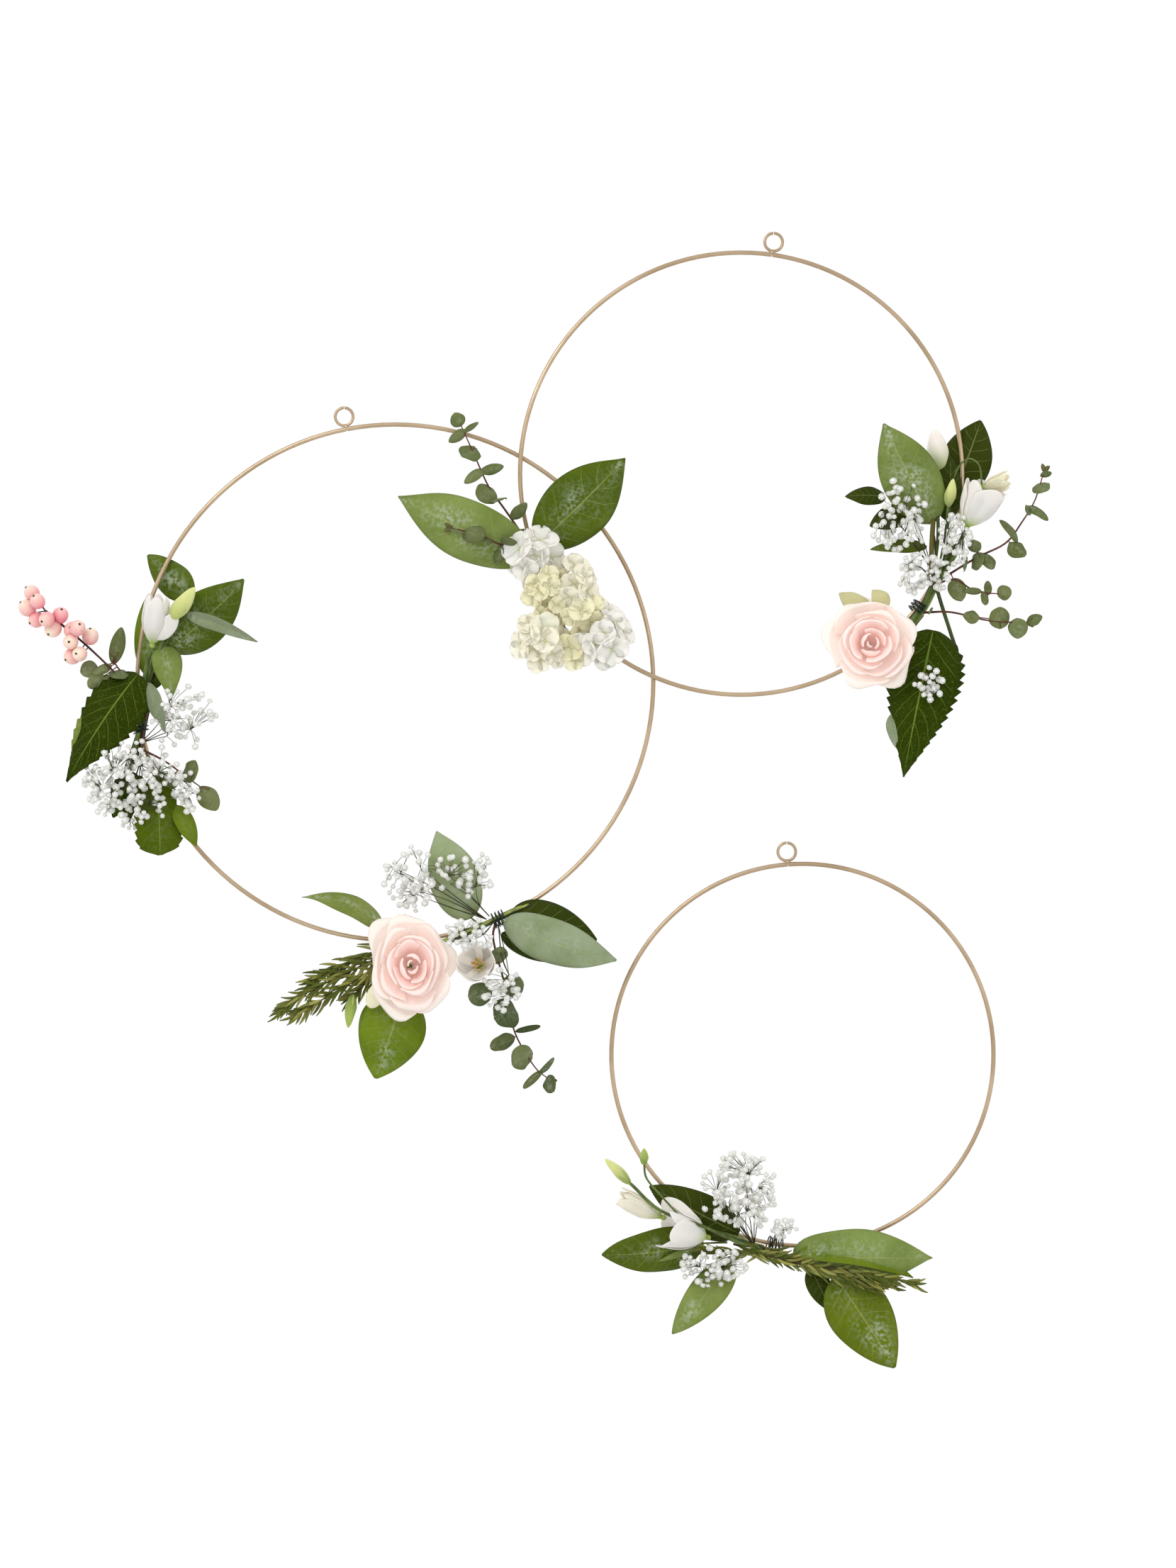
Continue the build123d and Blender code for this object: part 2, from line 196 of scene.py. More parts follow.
def curve_through(points, steps=5):
    """A smooth line through the points."""
    points = [np.asarray(p, float) for p in points]
    if len(points) == 2:
        return [points[0] + (points[1] - points[0]) * t for t in np.linspace(0, 1, steps + 1)]
    padded = [2 * points[0] - points[1]] + points + [2 * points[-1] - points[-2]]
    line = []
    for a, b, c, d in zip(padded, padded[1:], padded[2:], padded[3:]):
        for t in np.arange(steps) / steps:
            line.append(0.5 * (2 * b + (c - a) * t + (2 * a - 5 * b + 4 * c - d) * t * t
                               + (3 * b - a - 3 * c + d) * t ** 3))
    return line + [points[-1]]


def barrel(bands, sides):
    """Faces that join bands + 1 rings of points, closed at both ends."""
    faces = []
    for i in range(bands):
        for k in range(sides):
            a, b = i * sides + k, i * sides + (k + 1) % sides
            faces.append((a, b, b + sides, a + sides))
    faces.append(tuple(range(sides))[::-1])
    faces.append(tuple(range(bands * sides, (bands + 1) * sides)))
    return faces


def tube(shape, points, radius, tone, sides=7, taper=1.0, steps=5, tip_tone=None):
    """A round stem along a smooth line through the points, closed at both ends."""
    line = curve_through(points, steps)
    side = square_to(unit(line[1] - line[0]))
    verts, tones, along = [], [], []
    for i, spot in enumerate(line):
        ahead = unit(line[min(i + 1, len(line) - 1)] - line[max(i - 1, 0)])
        side = square_to(ahead, side)
        share = i / (len(line) - 1)
        reach = radius * (1 + (taper - 1) * share)
        for k in range(sides):
            verts.append(spot + turned(side, ahead, 2 * math.pi * k / sides) * reach)
            tones.append(mixed(tone, tip_tone or tone, share))
            along.append(share)
    shape.add(verts, barrel(len(line) - 1, sides), tones, along)


def ball(shape, centre, radii, tone_at, axis=(0, 0, 1), rings=10, sides=14, bumps=None):
    """A closed ball or spindle about an axis. tone_at gives the colour at each share of its length."""
    axis = unit(np.asarray(axis, float))
    side = square_to(axis)
    other = np.cross(axis, side)
    verts, tones, along = [], [], []
    for i in range(rings + 1):
        share = i / rings
        turn = math.pi * (0.03 + 0.94 * share)  # stops short of the poles, where a small flat closes it
        for k in range(sides):
            spin = 2 * math.pi * k / sides
            swell = 1 + (bumps(share, spin) if bumps else 0)
            out = side * math.cos(spin) + other * math.sin(spin)
            verts.append(centre - axis * radii[1] * math.cos(turn)
                         + out * radii[0] * math.sin(turn) * swell)
            tones.append(tone_at(share))
            along.append(share)
    shape.add(verts, barrel(rings, sides), tones, along)


# ---- leaves ----
def pointed(u, early=0.55, late=0.85):
    """Half width of a pointed oval leaf, widest nearer its base."""
    peak = early / (early + late)
    return (u / peak) ** early * ((1 - u) / (1 - peak)) ** late


def dripping(u):
    """Half width of a broad leaf that narrows to a long tip."""
    return pointed(u, 0.5, 1.15)


def broad(u):
    """Half width of a broad leaf that ends in a short, sharp point."""
    side, tip = np.maximum(pointed(u, 0.5, 0.5), 1e-3), np.maximum(3.0 * (1 - u), 1e-3)
    return (side ** -4 + tip ** -4) ** -0.25


def blunt(u):
    """Half width of a leaf that stays broad and ends almost square."""
    return np.minimum(1, (u / 0.5) ** 0.5) * (1 - np.maximum(0, (u - 0.4) / 0.6) ** 9)


def ovate(u):
    """Half width of a nearly round leaf with a slight point at each end."""
    return np.maximum(1 - (2 * u - 1) ** 2, 0) ** 0.62 * (1.12 - 0.24 * u)


def rounded(u):
    return np.sqrt(np.maximum(1 - (2 * u - 1) ** 2, 0))


def leaf(shape, base, tip, width, tone, roll=0.0, arch=0.10, cup=0.16, fold=0.0, sweep=0.0, skew=0.0,
         outline=pointed, teeth=0, back=SILVERY, rng=random, rows=26, columns=11, thickness=0.45):
    """A leaf from base to tip in millimetres, its face to the front and rolled by roll degrees.

    arch bows it towards the front, cup drops its sides, fold lifts them, sweep bows it sideways
    and skew makes one side wider than the other.
    """
    base, tip = np.asarray(base, float), np.asarray(tip, float)
    length = np.linalg.norm(tip - base)
    ahead = unit(tip - base)
    normal = turned(square_to(ahead), ahead, math.radians(roll))
    side = np.cross(normal, ahead)
    if teeth:
        rows = 5 * teeth + 1
    u = np.linspace(0, 1, rows)[:, None]
    v = np.linspace(-1, 1, columns)[None]
    half = width / 2 * outline(np.clip(u, 0.004, 0.996)) + 0.15
    half = half * (1 + skew * np.sign(v))
    if teeth:
        depth = 0.9 + 0.1 * np.sin(5 * u)
        half = half * (1 + 0.17 * depth * (0.6 - u * teeth % 1.0) * np.abs(v) ** 8)
    phase, second = rng.uniform(0, 6.3), rng.uniform(0, 6.3)
    ripple = (0.035 * width * np.sin(9 * u + phase) * np.abs(v) * v
              + 0.025 * width * np.cos(13 * u + second) * v ** 2)
    x = length * u + 0 * v
    y = half * v + sweep * length * 4 * u * (1 - u)
    z = arch * length * 4 * u * (1 - u) - cup * half * v ** 2 + fold * np.abs(v) * half + ripple
    grid = base + x[..., None] * ahead + y[..., None] * side + z[..., None] * normal
    tone = varied(tone, rng)
    sheet(shape, grid, thickness, tone, back=mixed(tone, back, 0.5))


def stalked(shape, stems, root, base, tip, width, tone, **style):
    """A leaf and the stalk that joins it to the stem."""
    leaf(shape, base, tip, width, tone, **style)
    base, tip = np.asarray(base, float), np.asarray(tip, float)
    middle = (np.asarray(root, float) + base) / 2 + np.array([0, -0.8, 0])
    tube(stems, [root, middle, base + (tip - base) * 0.06], 0.8, GREEN_STEM, taper=0.7)


def round_leaf(shape, stems, root, centre, width, height, rng, tone=EUCALYPTUS, outline=ovate):
    """A eucalyptus leaf that stands off its stem on a short stalk."""
    root, centre = np.asarray(root, float), np.asarray(centre, float)
    away = unit(centre - root)
    base, tip = centre - away * height / 2, centre + away * height / 2
    leaf(shape, base, tip, width, mixed(tone, EUCALYPTUS_PALE, rng.uniform(0, 0.6)),
         roll=rng.uniform(-38, 38), arch=rng.uniform(-0.03, 0.12), cup=rng.uniform(0.05, 0.3),
         outline=outline, rng=rng, rows=15, columns=9, thickness=0.4, back=EUCALYPTUS_PALE)
    tube(stems, [root, base + away * 0.6], 0.42, RED_STEM, sides=5, taper=0.8, steps=3)


def eucalyptus(shape, stems, stem, leaves, rng, tone=EUCALYPTUS, outline=ovate):
    """A sprig: a reddish twig, and a leaf for each (x, y, z, width, height)."""
    tube(stems, stem, 0.85, mixed(RED_STEM, OLIVE_STEM, 0.3), taper=0.45, tip_tone=RED_STEM)
    line = curve_through(stem, 8)
    for x, y, z, width, height in leaves:
        centre = np.array([x, y, z], float)
        nearest = min(line, key=lambda p: np.linalg.norm(p - centre))
        if np.linalg.norm(nearest - centre) < 2:
            nearest = line[max(0, len(line) - 3)] * 0.5 + nearest * 0.5
        round_leaf(shape, stems, nearest, centre, width, height, rng, tone, outline)
    tip, away = line[-1], unit(line[-1] - line[-3])
    for turn in (-1, 1):
        swing = turned(away, FRONT, 0.5 * turn)
        leaf(shape, tip, tip + swing * 5.5, 3.0, mixed(tone, RED_STEM, 0.3), rng=rng, rows=9, columns=5,
             roll=25 * turn, outline=ovate, thickness=0.35)


def rosemary(shape, stems, stem, rng, needle=18, pairs=24, spread=0.62):
    """A sprig of narrow needles set in opposite pairs round a woody stem, all raked forwards."""
    tube(stems, stem, 0.8, mixed(OLIVE_STEM, RED_STEM, 0.3), taper=0.4)
    line = curve_through(stem, 14)
    start = 0.04
    for k in range(pairs):
        share = start + (1 - start) * k / pairs
        i = min(int(share * (len(line) - 1)), len(line) - 2)
        ahead = unit(line[i + 1] - line[i])
        spin = k * 1.4 + rng.uniform(-0.3, 0.3)
        for half in (0, math.pi):
            out = turned(square_to(ahead), ahead, spin + half) * np.array([1.0, 0.55, 1.0])
            reach = needle * (1 - 0.30 * share) * rng.uniform(0.65, 1.1)
            direction = unit(ahead + out * spread * rng.uniform(0.5, 1.4))
            leaf(shape, line[i], line[i] + direction * reach, 1.5,
                 mixed(ROSEMARY, ROSEMARY_STRAW, rng.random() ** 1.8), rng=rng, rows=6, columns=3,
                 arch=0.08, cup=-0.4, thickness=0.5, sweep=rng.uniform(-0.08, 0.08))


# ---- flowers ----
def petal(shape, centre, axis, spin, width, profile, tone, edge, rng, ruffle=0.05, thickness=0.4,
          rows=11, columns=11, point=0.10, sharp=2.4, fade=1.0):
    """A petal wrapped round axis. profile lists (radius, height) from its foot to its rim.

    point rounds the rim's corners off, sharp gives the rim a tip as it nears 1, and fade is the
    share of the length over which tone turns into edge.
    """
    side = square_to(axis, UP)
    other = np.cross(axis, side)
    profile = np.asarray(profile, float)
    s = np.linspace(0, 1, rows)[:, None]
    v = np.linspace(-1, 1, columns)[None]
    knots = np.linspace(0, 1, len(profile))
    reach = s * (1 - (0.20 + point) * np.abs(v) ** sharp)
    wave = ruffle * profile[-1, 0] * s ** 3 * np.sin(5 * v + rng.uniform(0, 6.3))
    radius = (np.interp(reach, knots, profile[:, 0]) + wave)[..., None]
    height = (np.interp(reach, knots, profile[:, 1]) + 0.6 * wave)[..., None]
    angle = (spin + v * width * np.sin(np.clip(0.25 + 0.95 * s, 0, 1) * math.pi / 2))[..., None]
    grid = centre + axis * height + (side * np.cos(angle) + other * np.sin(angle)) * radius
    share = (np.minimum(1, (s / fade) ** 1.4) + 0 * v)[..., None]
    tones = np.array(tone) * (1 - share) + np.array(edge) * share
    sheet(shape, grid, thickness, tones)


def smooth_profile(points):
    """More points on a smooth line through a petal's (radius, height) profile."""
    line = curve_through([(r, h, 0) for r, h in points], 4)
    return [(p[0], p[1]) for p in line]


def rose(shape, greens, centre, axis, radius, depth, rng, petals=22, squash=1.0, sharp=1.8, turn=0.0):
    """A garden rose: a few furled heart petals, then open petals whose rims roll back to a point."""
    centre, axis = np.asarray(centre, float), unit(np.asarray(axis, float))
    side = square_to(axis, UP)
    start = len(shape.verts)
    foot = -0.5 * depth
    heart = 4
    for k in range(petals):
        spin = turn + k * GOLDEN_ANGLE + rng.uniform(-0.3, 0.3)
        out = turned(side, axis, spin)
        if k < heart:
            belly = radius * (0.07 + 0.055 * k)
            top = depth * (0.40 - 0.015 * k)
            profile = [(0.4 * belly, top - 0.6 * depth), (0.95 * belly, top - 0.30 * depth),
                       (belly, top - 0.16 * depth), (0.88 * belly, top - 0.05 * depth), (0.60 * belly, top)]
            width, point, curve, shift = 1.35 - 0.1 * k, 0.06, 1.3, 0.03
            warm, edge = ROSE_INNER, mixed(ROSE_INNER, ROSE_OUTER, 0.3)
        else:
            t = (k - heart + 0.5) / (petals - heart)
            reach = radius * (0.28 + 0.70 * t ** 0.85) * rng.uniform(0.92, 1.05)
            rim = depth * (0.38 - 0.60 * t ** 1.4 + rng.uniform(-0.05, 0.05))
            curl = 0.05 + 0.12 * t
            lift = 1.1 - 0.45 * t
            profile = [(s * reach, foot + (rim - foot) * s ** lift) for s in (0.10, 0.45, 0.75, 0.93)]
            profile += [(reach, rim), (reach * (1 + curl), rim - 0.55 * curl * depth)]
            width, point, curve = 1.05 - 0.35 * t, 0.07 + 0.14 * t, 2.0 - (2.0 - sharp) * t
            shift = rng.uniform(-0.05, 0.06)
            warm = mixed(ROSE_INNER, ROSE_OUTER, 0.05 + 0.6 * t)
            edge = mixed(ROSE_INNER, ROSE_OUTER, min(1, 0.30 + 0.8 * t))
        petal(shape, centre + out * shift * radius, axis, spin, width + rng.uniform(-0.08, 0.1),
              smooth_profile(profile), varied(warm, rng, 0.03), varied(edge, rng, 0.03), rng,
              ruffle=0.02 + 0.035 * k / petals, thickness=0.55, rows=18, columns=15, point=point,
              sharp=curve)
    shape.verts[start:] = [(x, y, centre[2] + (z - centre[2]) * squash) for x, y, z in shape.verts[start:]]
    back = centre - axis * 0.5 * depth
    ball(greens, back - axis * 1.5, (0.17 * radius, 0.12 * radius), lambda s: GREEN_STEM, axis)
    for out in around(axis, 5):
        leaf(greens, back, back + out * radius * 0.62 + axis * 0.06 * depth, 6, BUD_GREEN, rng=rng,
             rows=12, columns=5, arch=0.1)


def lisianthus(shape, greens, base, tip, radius, rng, openness=0.5, petals=6, ruffle=0.05, anthers=0,
               heart=LIME, tone=WHITE, spin=0.0, fade=0.45):
    """A funnel flower from its lime base towards tip: smooth, overlapping petals with wavy rims."""
    base, tip = np.asarray(base, float), np.asarray(tip, float)
    axis, depth = unit(tip - base), np.linalg.norm(tip - base)
    rim = 0.45 + 0.80 * openness
    for k in range(petals):
        reach = radius * (1.0 - 0.10 * (k % 2))
        height = depth * rng.uniform(0.90, 1.0)
        profile = smooth_profile([(0.07 * radius, 0), (0.38 * reach, 0.14 * height),
                                  (0.72 * reach, 0.42 * height),
                                  (reach * (0.42 + 0.48 * rim), 0.76 * height), (reach * rim, height)])
        petal(shape, base, axis, spin + k * 2 * math.pi / petals, 4.2 / petals + 0.15, profile, heart,
              varied(tone, rng, 0.03), rng, ruffle=ruffle, thickness=0.4, rows=16, columns=13,
              point=0.12, sharp=1.8, fade=fade)
    ball(greens, base - axis * 0.8, (1.9, 2.2), lambda s: BUD_GREEN, axis)
    for out in around(axis, 5):
        leaf(greens, base + out, base + out * 3.2 + axis * 9, 1.6, BUD_GREEN, rng=rng, rows=7, columns=4)
    for out in around(axis, anthers):
        head = base + axis * depth * 0.70 + out * radius * 0.15
        tube(greens, [base + axis, head], 0.35, CREAM, sides=5, steps=2)
        ball(greens, head, (1.0, 1.5), lambda s: ANTHER, out, rings=5, sides=8)


def bud(shape, greens, base, tip, radius, rng, foot=BUD_GREEN, tone=CREAM, twist=4.0):
    """A furled bud: a spindle whose petals wind round it, green at the foot."""
    base, tip = np.asarray(base, float), np.asarray(tip, float)
    axis, half = unit(tip - base), np.linalg.norm(tip - base) / 2

    def winding(share, spin):
        return 0.15 * abs(math.sin(1.5 * spin + twist * share)) - 1.0 * max(0, share - 0.42)

    ball(shape, (base + tip) / 2, (radius, half), lambda s: mixed(foot, tone, min(1, s * 1.6)), axis,
         rings=22, sides=36, bumps=winding)
    for out in around(axis, 5, 0.3):
        leaf(greens, base + out * 0.6, base + out * radius * 0.95 + axis * half * 0.9, 1.5, BUD_GREEN,
             rng=rng, rows=8, columns=4, arch=0.12)


def floret_pattern(rng):
    """A double gypsophila flower of radius 1: a full, lobed middle over a ring of petals."""
    shape = Shape()
    ball(shape, UP * 0.25, (0.74, 0.52), lambda s: FLORET, UP, rings=6, sides=10,
         bumps=lambda share, spin: 0.16 * math.sin(5 * spin + 9 * share))
    u = np.array([0.0, 0.5, 1.0])[:, None]
    v = np.array([-1.0, 0.0, 1.0])[None]
    for k in range(6):
        spin = 2 * math.pi * k / 6 + rng.uniform(-0.2, 0.2)
        out = np.array([math.cos(spin), math.sin(spin), 0.0])
        half = np.array([0.20, 0.52, 0.40])[:, None]
        grid = (u[..., None] * (out * 1.05 + UP * 0.15) + (half * v)[..., None] * np.cross(UP, out)
                + (0.22 * np.sin(u * math.pi) + 0.12 * v ** 2)[..., None] * UP)
        sheet(shape, grid, 0.16, varied(FLORET, rng, 0.03))
    return shape


def calyx_pattern():
    """The green cup behind a gypsophila flower of radius 1."""
    shape = Shape()
    ball(shape, np.array([0.0, 0.0, -0.25]), (0.34, 0.42), lambda s: BUD_GREEN, rings=4, sides=6)
    return shape


def gypsophila(flowers, stems, root, centre, size, count, rng, smallest=1.45, largest=2.35):
    """A cloud of small flowers on branching threads: size is its width, depth and height."""
    root, centre, size = (np.asarray(p, float) for p in (root, centre, size))
    patterns = [floret_pattern(rng) for _ in range(4)]
    calyx = calyx_pattern()
    hubs = []
    for _ in range(max(3, count // 14)):
        hub = centre + np.array([rng.uniform(-0.3, 0.3) for _ in range(3)]) * size
        hubs.append(hub)
        bend = np.array([rng.uniform(-3, 3), rng.uniform(-1, 2), rng.uniform(-3, 3)])
        middle = root * 0.45 + hub * 0.55 + bend
        tube(stems, [root, middle, hub], 0.36, OLIVE_STEM, sides=5, taper=0.6, steps=4)
    placed = []
    tries = 0
    while len(placed) < count and tries < 60 * count:
        tries += 1
        away = np.array([rng.uniform(-1, 1) for _ in range(3)])
        if np.linalg.norm(away) > 1:
            continue
        spot = centre + away * size / 2
        if any(np.linalg.norm(spot - other) < smallest * 1.7 for other in placed):
            continue
        placed.append(spot)
        radius = rng.uniform(smallest, largest)
        normal = unit(away * 0.6 + np.array([rng.uniform(-0.4, 0.4), -1.2, rng.uniform(-0.3, 0.5)]))
        stamp(flowers, rng.choice(patterns), spot, normal, radius, rng.uniform(0, 6.3))
        stamp(stems, calyx, spot, normal, radius, 0.0)
        hub = min(hubs, key=lambda h: np.linalg.norm(h - spot))
        tube(stems, [hub, (hub + spot) / 2 + np.array([0, 1.0, 0.6]), spot - normal * 0.5 * radius], 0.17,
             mixed(OLIVE_STEM, GREEN_STEM, 0.3), sides=4, steps=3)


def hydrangea_floret(shape, hearts, centre, normal, radius, tone, rng):
    """Four broad, overlapping petals round a small bead."""
    side = turned(square_to(normal, UP), normal, rng.uniform(0, 1.6))
    u = np.linspace(0, 1, 9)[:, None]
    v = np.linspace(-1, 1, 9)[None]
    share = (np.minimum(1, u * 2.2) + 0 * v)[..., None]
    tones = np.array(mixed(tone, FLORET_HEART, 0.45)) * (1 - share) + np.array(tone) * share
    for k in range(4):
        out = turned(side, normal, k * math.pi / 2 + rng.uniform(-0.12, 0.12))
        across = np.cross(normal, out)
        reach = radius * rng.uniform(0.88, 1.08)
        half = 0.62 * reach * rounded(np.clip(0.06 + 0.93 * u, 0, 0.996)) + 0.1
        wave = 0.06 * reach * np.sin(4 * v + 6 * u + rng.uniform(0, 6.3)) * u
        rise = 0.22 * u * (1.5 - u) * reach + 0.12 * reach * v ** 2 * u + wave
        grid = (centre + normal * 0.2 * (k % 2) + (u * reach + 0 * v)[..., None] * out
                + (half * v)[..., None] * across + rise[..., None] * normal)
        sheet(shape, grid, 0.35, tones)
    ball(hearts, centre + normal * 0.5, (0.8, 0.8), lambda s: FLORET_HEART, normal, rings=6, sides=9)


def hydrangea(shape, hearts, stems, root, mounds, rng):
    """A trailing head of florets over rounded mounds, each given as (centre, radius, floret, tone)."""
    root = np.asarray(root, float)
    mounds = [(np.asarray(centre, float), radius, floret, tone) for centre, radius, floret, tone in mounds]
    placed = []
    for centre, radius, floret, tone in mounds:
        tube(stems, [root, (root + centre) / 2 + np.array([0, 2.0, 0]), centre], 1.0, GREEN_STEM, taper=0.6)
        for layer, count in ((1.0, 70), (0.5, 30)):
            for k in range(count):
                polar = math.acos(1 - 1.30 * (k + 0.5) / count)
                spin = k * GOLDEN_ANGLE + rng.uniform(-0.2, 0.2)
                away = np.array([math.sin(polar) * math.cos(spin), -math.cos(polar),
                                 math.sin(polar) * math.sin(spin)])
                reach = radius - 0.55 * floret
                spot = centre + away * (reach * layer + rng.uniform(-3.0, 1.5))
                if any(np.linalg.norm(spot - other) < floret * 0.90 for other in placed):
                    continue
                placed.append(spot)
                tilt = np.array([rng.uniform(-0.5, 0.5), 0, rng.uniform(-0.5, 0.5)])
                normal = unit(away * 0.8 + FRONT * 0.6 + tilt)
                hydrangea_floret(shape, hearts, spot, normal, floret * rng.uniform(0.80, 1.15),
                                 varied(tone, rng, 0.04), rng)
                tube(stems, [centre, spot - away * 0.5], 0.4, BUD_GREEN, sides=5, steps=2)


def berries(shape, tips, stems, spots, twig, diameter, rng):
    """Snowberries on short stalks along a twig, each with a dark tuft at its tip."""
    tube(stems, twig, 0.95, DARK_RED_STEM, taper=0.6)
    line = curve_through(twig, 8)
    middle = sum(line) / len(line)
    for x, y, z in spots:
        spot = np.array([x, y, z], float)
        nearest = min(line, key=lambda p: np.linalg.norm(p - spot))
        away = unit(unit(spot - nearest) * 0.8 + unit(spot - middle) * 0.3 + FRONT * rng.uniform(0.2, 0.8)
                    + np.array([rng.uniform(-0.4, 0.4), 0.0, rng.uniform(-0.4, 0.4)]))
        blush = rng.uniform(0.35, 1.0)
        radius = diameter / 2 * rng.uniform(0.92, 1.08)
        ball(shape, spot, (radius, radius * 1.07),
             lambda s: mixed(BERRY_PINK, BERRY_CREAM, min(1, max(0, 1.05 - blush + 0.9 * (s - 0.5)))),
             away, rings=14, sides=20,
             bumps=lambda share, spin: 0.02 * math.sin(3 * spin))
        foot = spot + away * radius * 1.04
        ball(tips, foot, (0.75, 0.45), lambda s: BERRY_TIP, away, rings=5, sides=8)
        for out in around(away, 5):
            tube(tips, [foot + out * 0.15, foot + out * 0.95 + away * 0.7], 0.30, BERRY_TIP,
                 sides=5, taper=0.4, steps=2)
        tube(stems, [nearest, spot - away * radius], 0.42, DARK_RED_STEM, sides=5, steps=3)


# ---- stems and binding ----
def stem_bundle(stems, middle, spread, count, rng):
    """Cut stems held side by side along a line, fanned out a little at both ends."""
    for k in range(count):
        spin, reach = k * GOLDEN_ANGLE, 2.9 * math.sqrt((k + 0.5) / count)
        off = np.array([math.cos(spin) * reach, math.sin(spin) * reach, 0])
        across = np.array([math.cos(spin), math.sin(spin) * 0.4, 0]) * spread
        points = []
        for i, spot in enumerate(middle):
            flare = 1.0 if i in (0, len(middle) - 1) else 0.0
            points.append(np.asarray(spot, float) + off + across * flare * rng.uniform(0.3, 1.0))
        tone = rng.choice([GREEN_STEM, OLIVE_STEM, mixed(RED_STEM, OLIVE_STEM, 0.5), BUD_GREEN])
        tube(stems, points, rng.uniform(0.75, 1.25), varied(tone, rng, 0.2), sides=8)


def binding_wire(shape, hoop, angle, shift, wraps, pitch):
    """Wire wound unevenly round the hoop and the stems in front of it."""
    centre, radius = hoop["centre"], hoop["radius"]
    points = []
    steps = 14
    for k in range(wraps * steps + 1):
        along = shift + (k / steps - wraps / 2) * pitch + 0.5 * math.sin(k * 0.23)
        at = math.radians(angle) + along / radius
        spin = 2 * math.pi * k / steps
        outward = np.array([math.cos(at), 0, math.sin(at)])
        deep, wide = 6.7 + 0.3 * math.sin(k * 0.31), 4.9 + 0.4 * math.sin(k * 0.17)
        reach = radius + math.cos(spin) * wide
        points.append(centre + outward * reach + np.array([0, -4.4 + math.sin(spin) * deep, 0]))
    tube(shape, points, 0.46, BINDING, sides=6, steps=1)


# ---- materials ----
def new_material(name, roughness, sheen=0.0, subsurface=0.0, metallic=0.0, specular=0.5, tint=(1, 1, 1, 1)):
    """A material with a principled shader: returns the material, its tree and the shader."""
    material = bpy.data.materials.new(name)
    material.use_nodes = True
    tree = material.node_tree
    shader = tree.nodes["Principled BSDF"]
    for socket, value in (("Roughness", roughness), ("Sheen Weight", sheen), ("Metallic", metallic),
                          ("Subsurface Weight", subsurface), ("Subsurface Scale", 0.004),
                          ("Specular IOR Level", specular), ("Specular Tint", tint)):
        shader.inputs[socket].default_value = value
    return material, tree, shader


def node(tree, kind, **values):
    made = tree.nodes.new(kind)
    for key, value in values.items():
        setattr(made, key, value)
    return made


def attribute(tree, name):
    return node(tree, "ShaderNodeAttribute", attribute_name=name)


def maths(tree, operation, first, second=None):
    made = node(tree, "ShaderNodeMath", operation=operation)
    for socket, value in zip(made.inputs, (first, second)):
        if value is None:
            continue
        if isinstance(value, (int, float)):
            socket.default_value = value
        else:
            tree.links.new(value, socket)
    return made.outputs[0]


def ramp(tree, value, low, high, to_low=0.0, to_high=1.0):
    made = node(tree, "ShaderNodeMapRange", interpolation_type="SMOOTHSTEP")
    tree.links.new(value, made.inputs["Value"])
    for label, number in (("From Min", low), ("From Max", high), ("To Min", to_low), ("To Max", to_high)):
        made.inputs[label].default_value = number
    return made.outputs["Result"]


def noise(tree, scale, detail=4.0, stretch=None):
    made = node(tree, "ShaderNodeTexNoise")
    made.inputs["Scale"].default_value = scale
    made.inputs["Detail"].default_value = detail
    coordinates = node(tree, "ShaderNodeTexCoord")
    source = coordinates.outputs["Object"]
    if stretch:
        mapping = node(tree, "ShaderNodeMapping")
        mapping.inputs["Scale"].default_value = stretch
        tree.links.new(source, mapping.inputs["Vector"])
        source = mapping.outputs["Vector"]
    tree.links.new(source, made.inputs["Vector"])
    return made.outputs["Fac"]


def mix(tree, share, first, second, blend="MIX"):
    made = node(tree, "ShaderNodeMix", data_type="RGBA", blend_type=blend)
    for socket, value in ((made.inputs[0], share), (made.inputs[6], first), (made.inputs[7], second)):
        if isinstance(value, (int, float)):
            socket.default_value = value
        elif isinstance(value, tuple):
            socket.default_value = (*value, 1)
        else:
            tree.links.new(value, socket)
    return made.outputs[2]


def bump(tree, shader, height, distance, strength=0.6):
    made = node(tree, "ShaderNodeBump")
    made.inputs["Strength"].default_value = strength
    made.inputs["Distance"].default_value = distance
    tree.links.new(height, made.inputs["Height"])
    tree.links.new(made.outputs["Normal"], shader.inputs["Normal"])


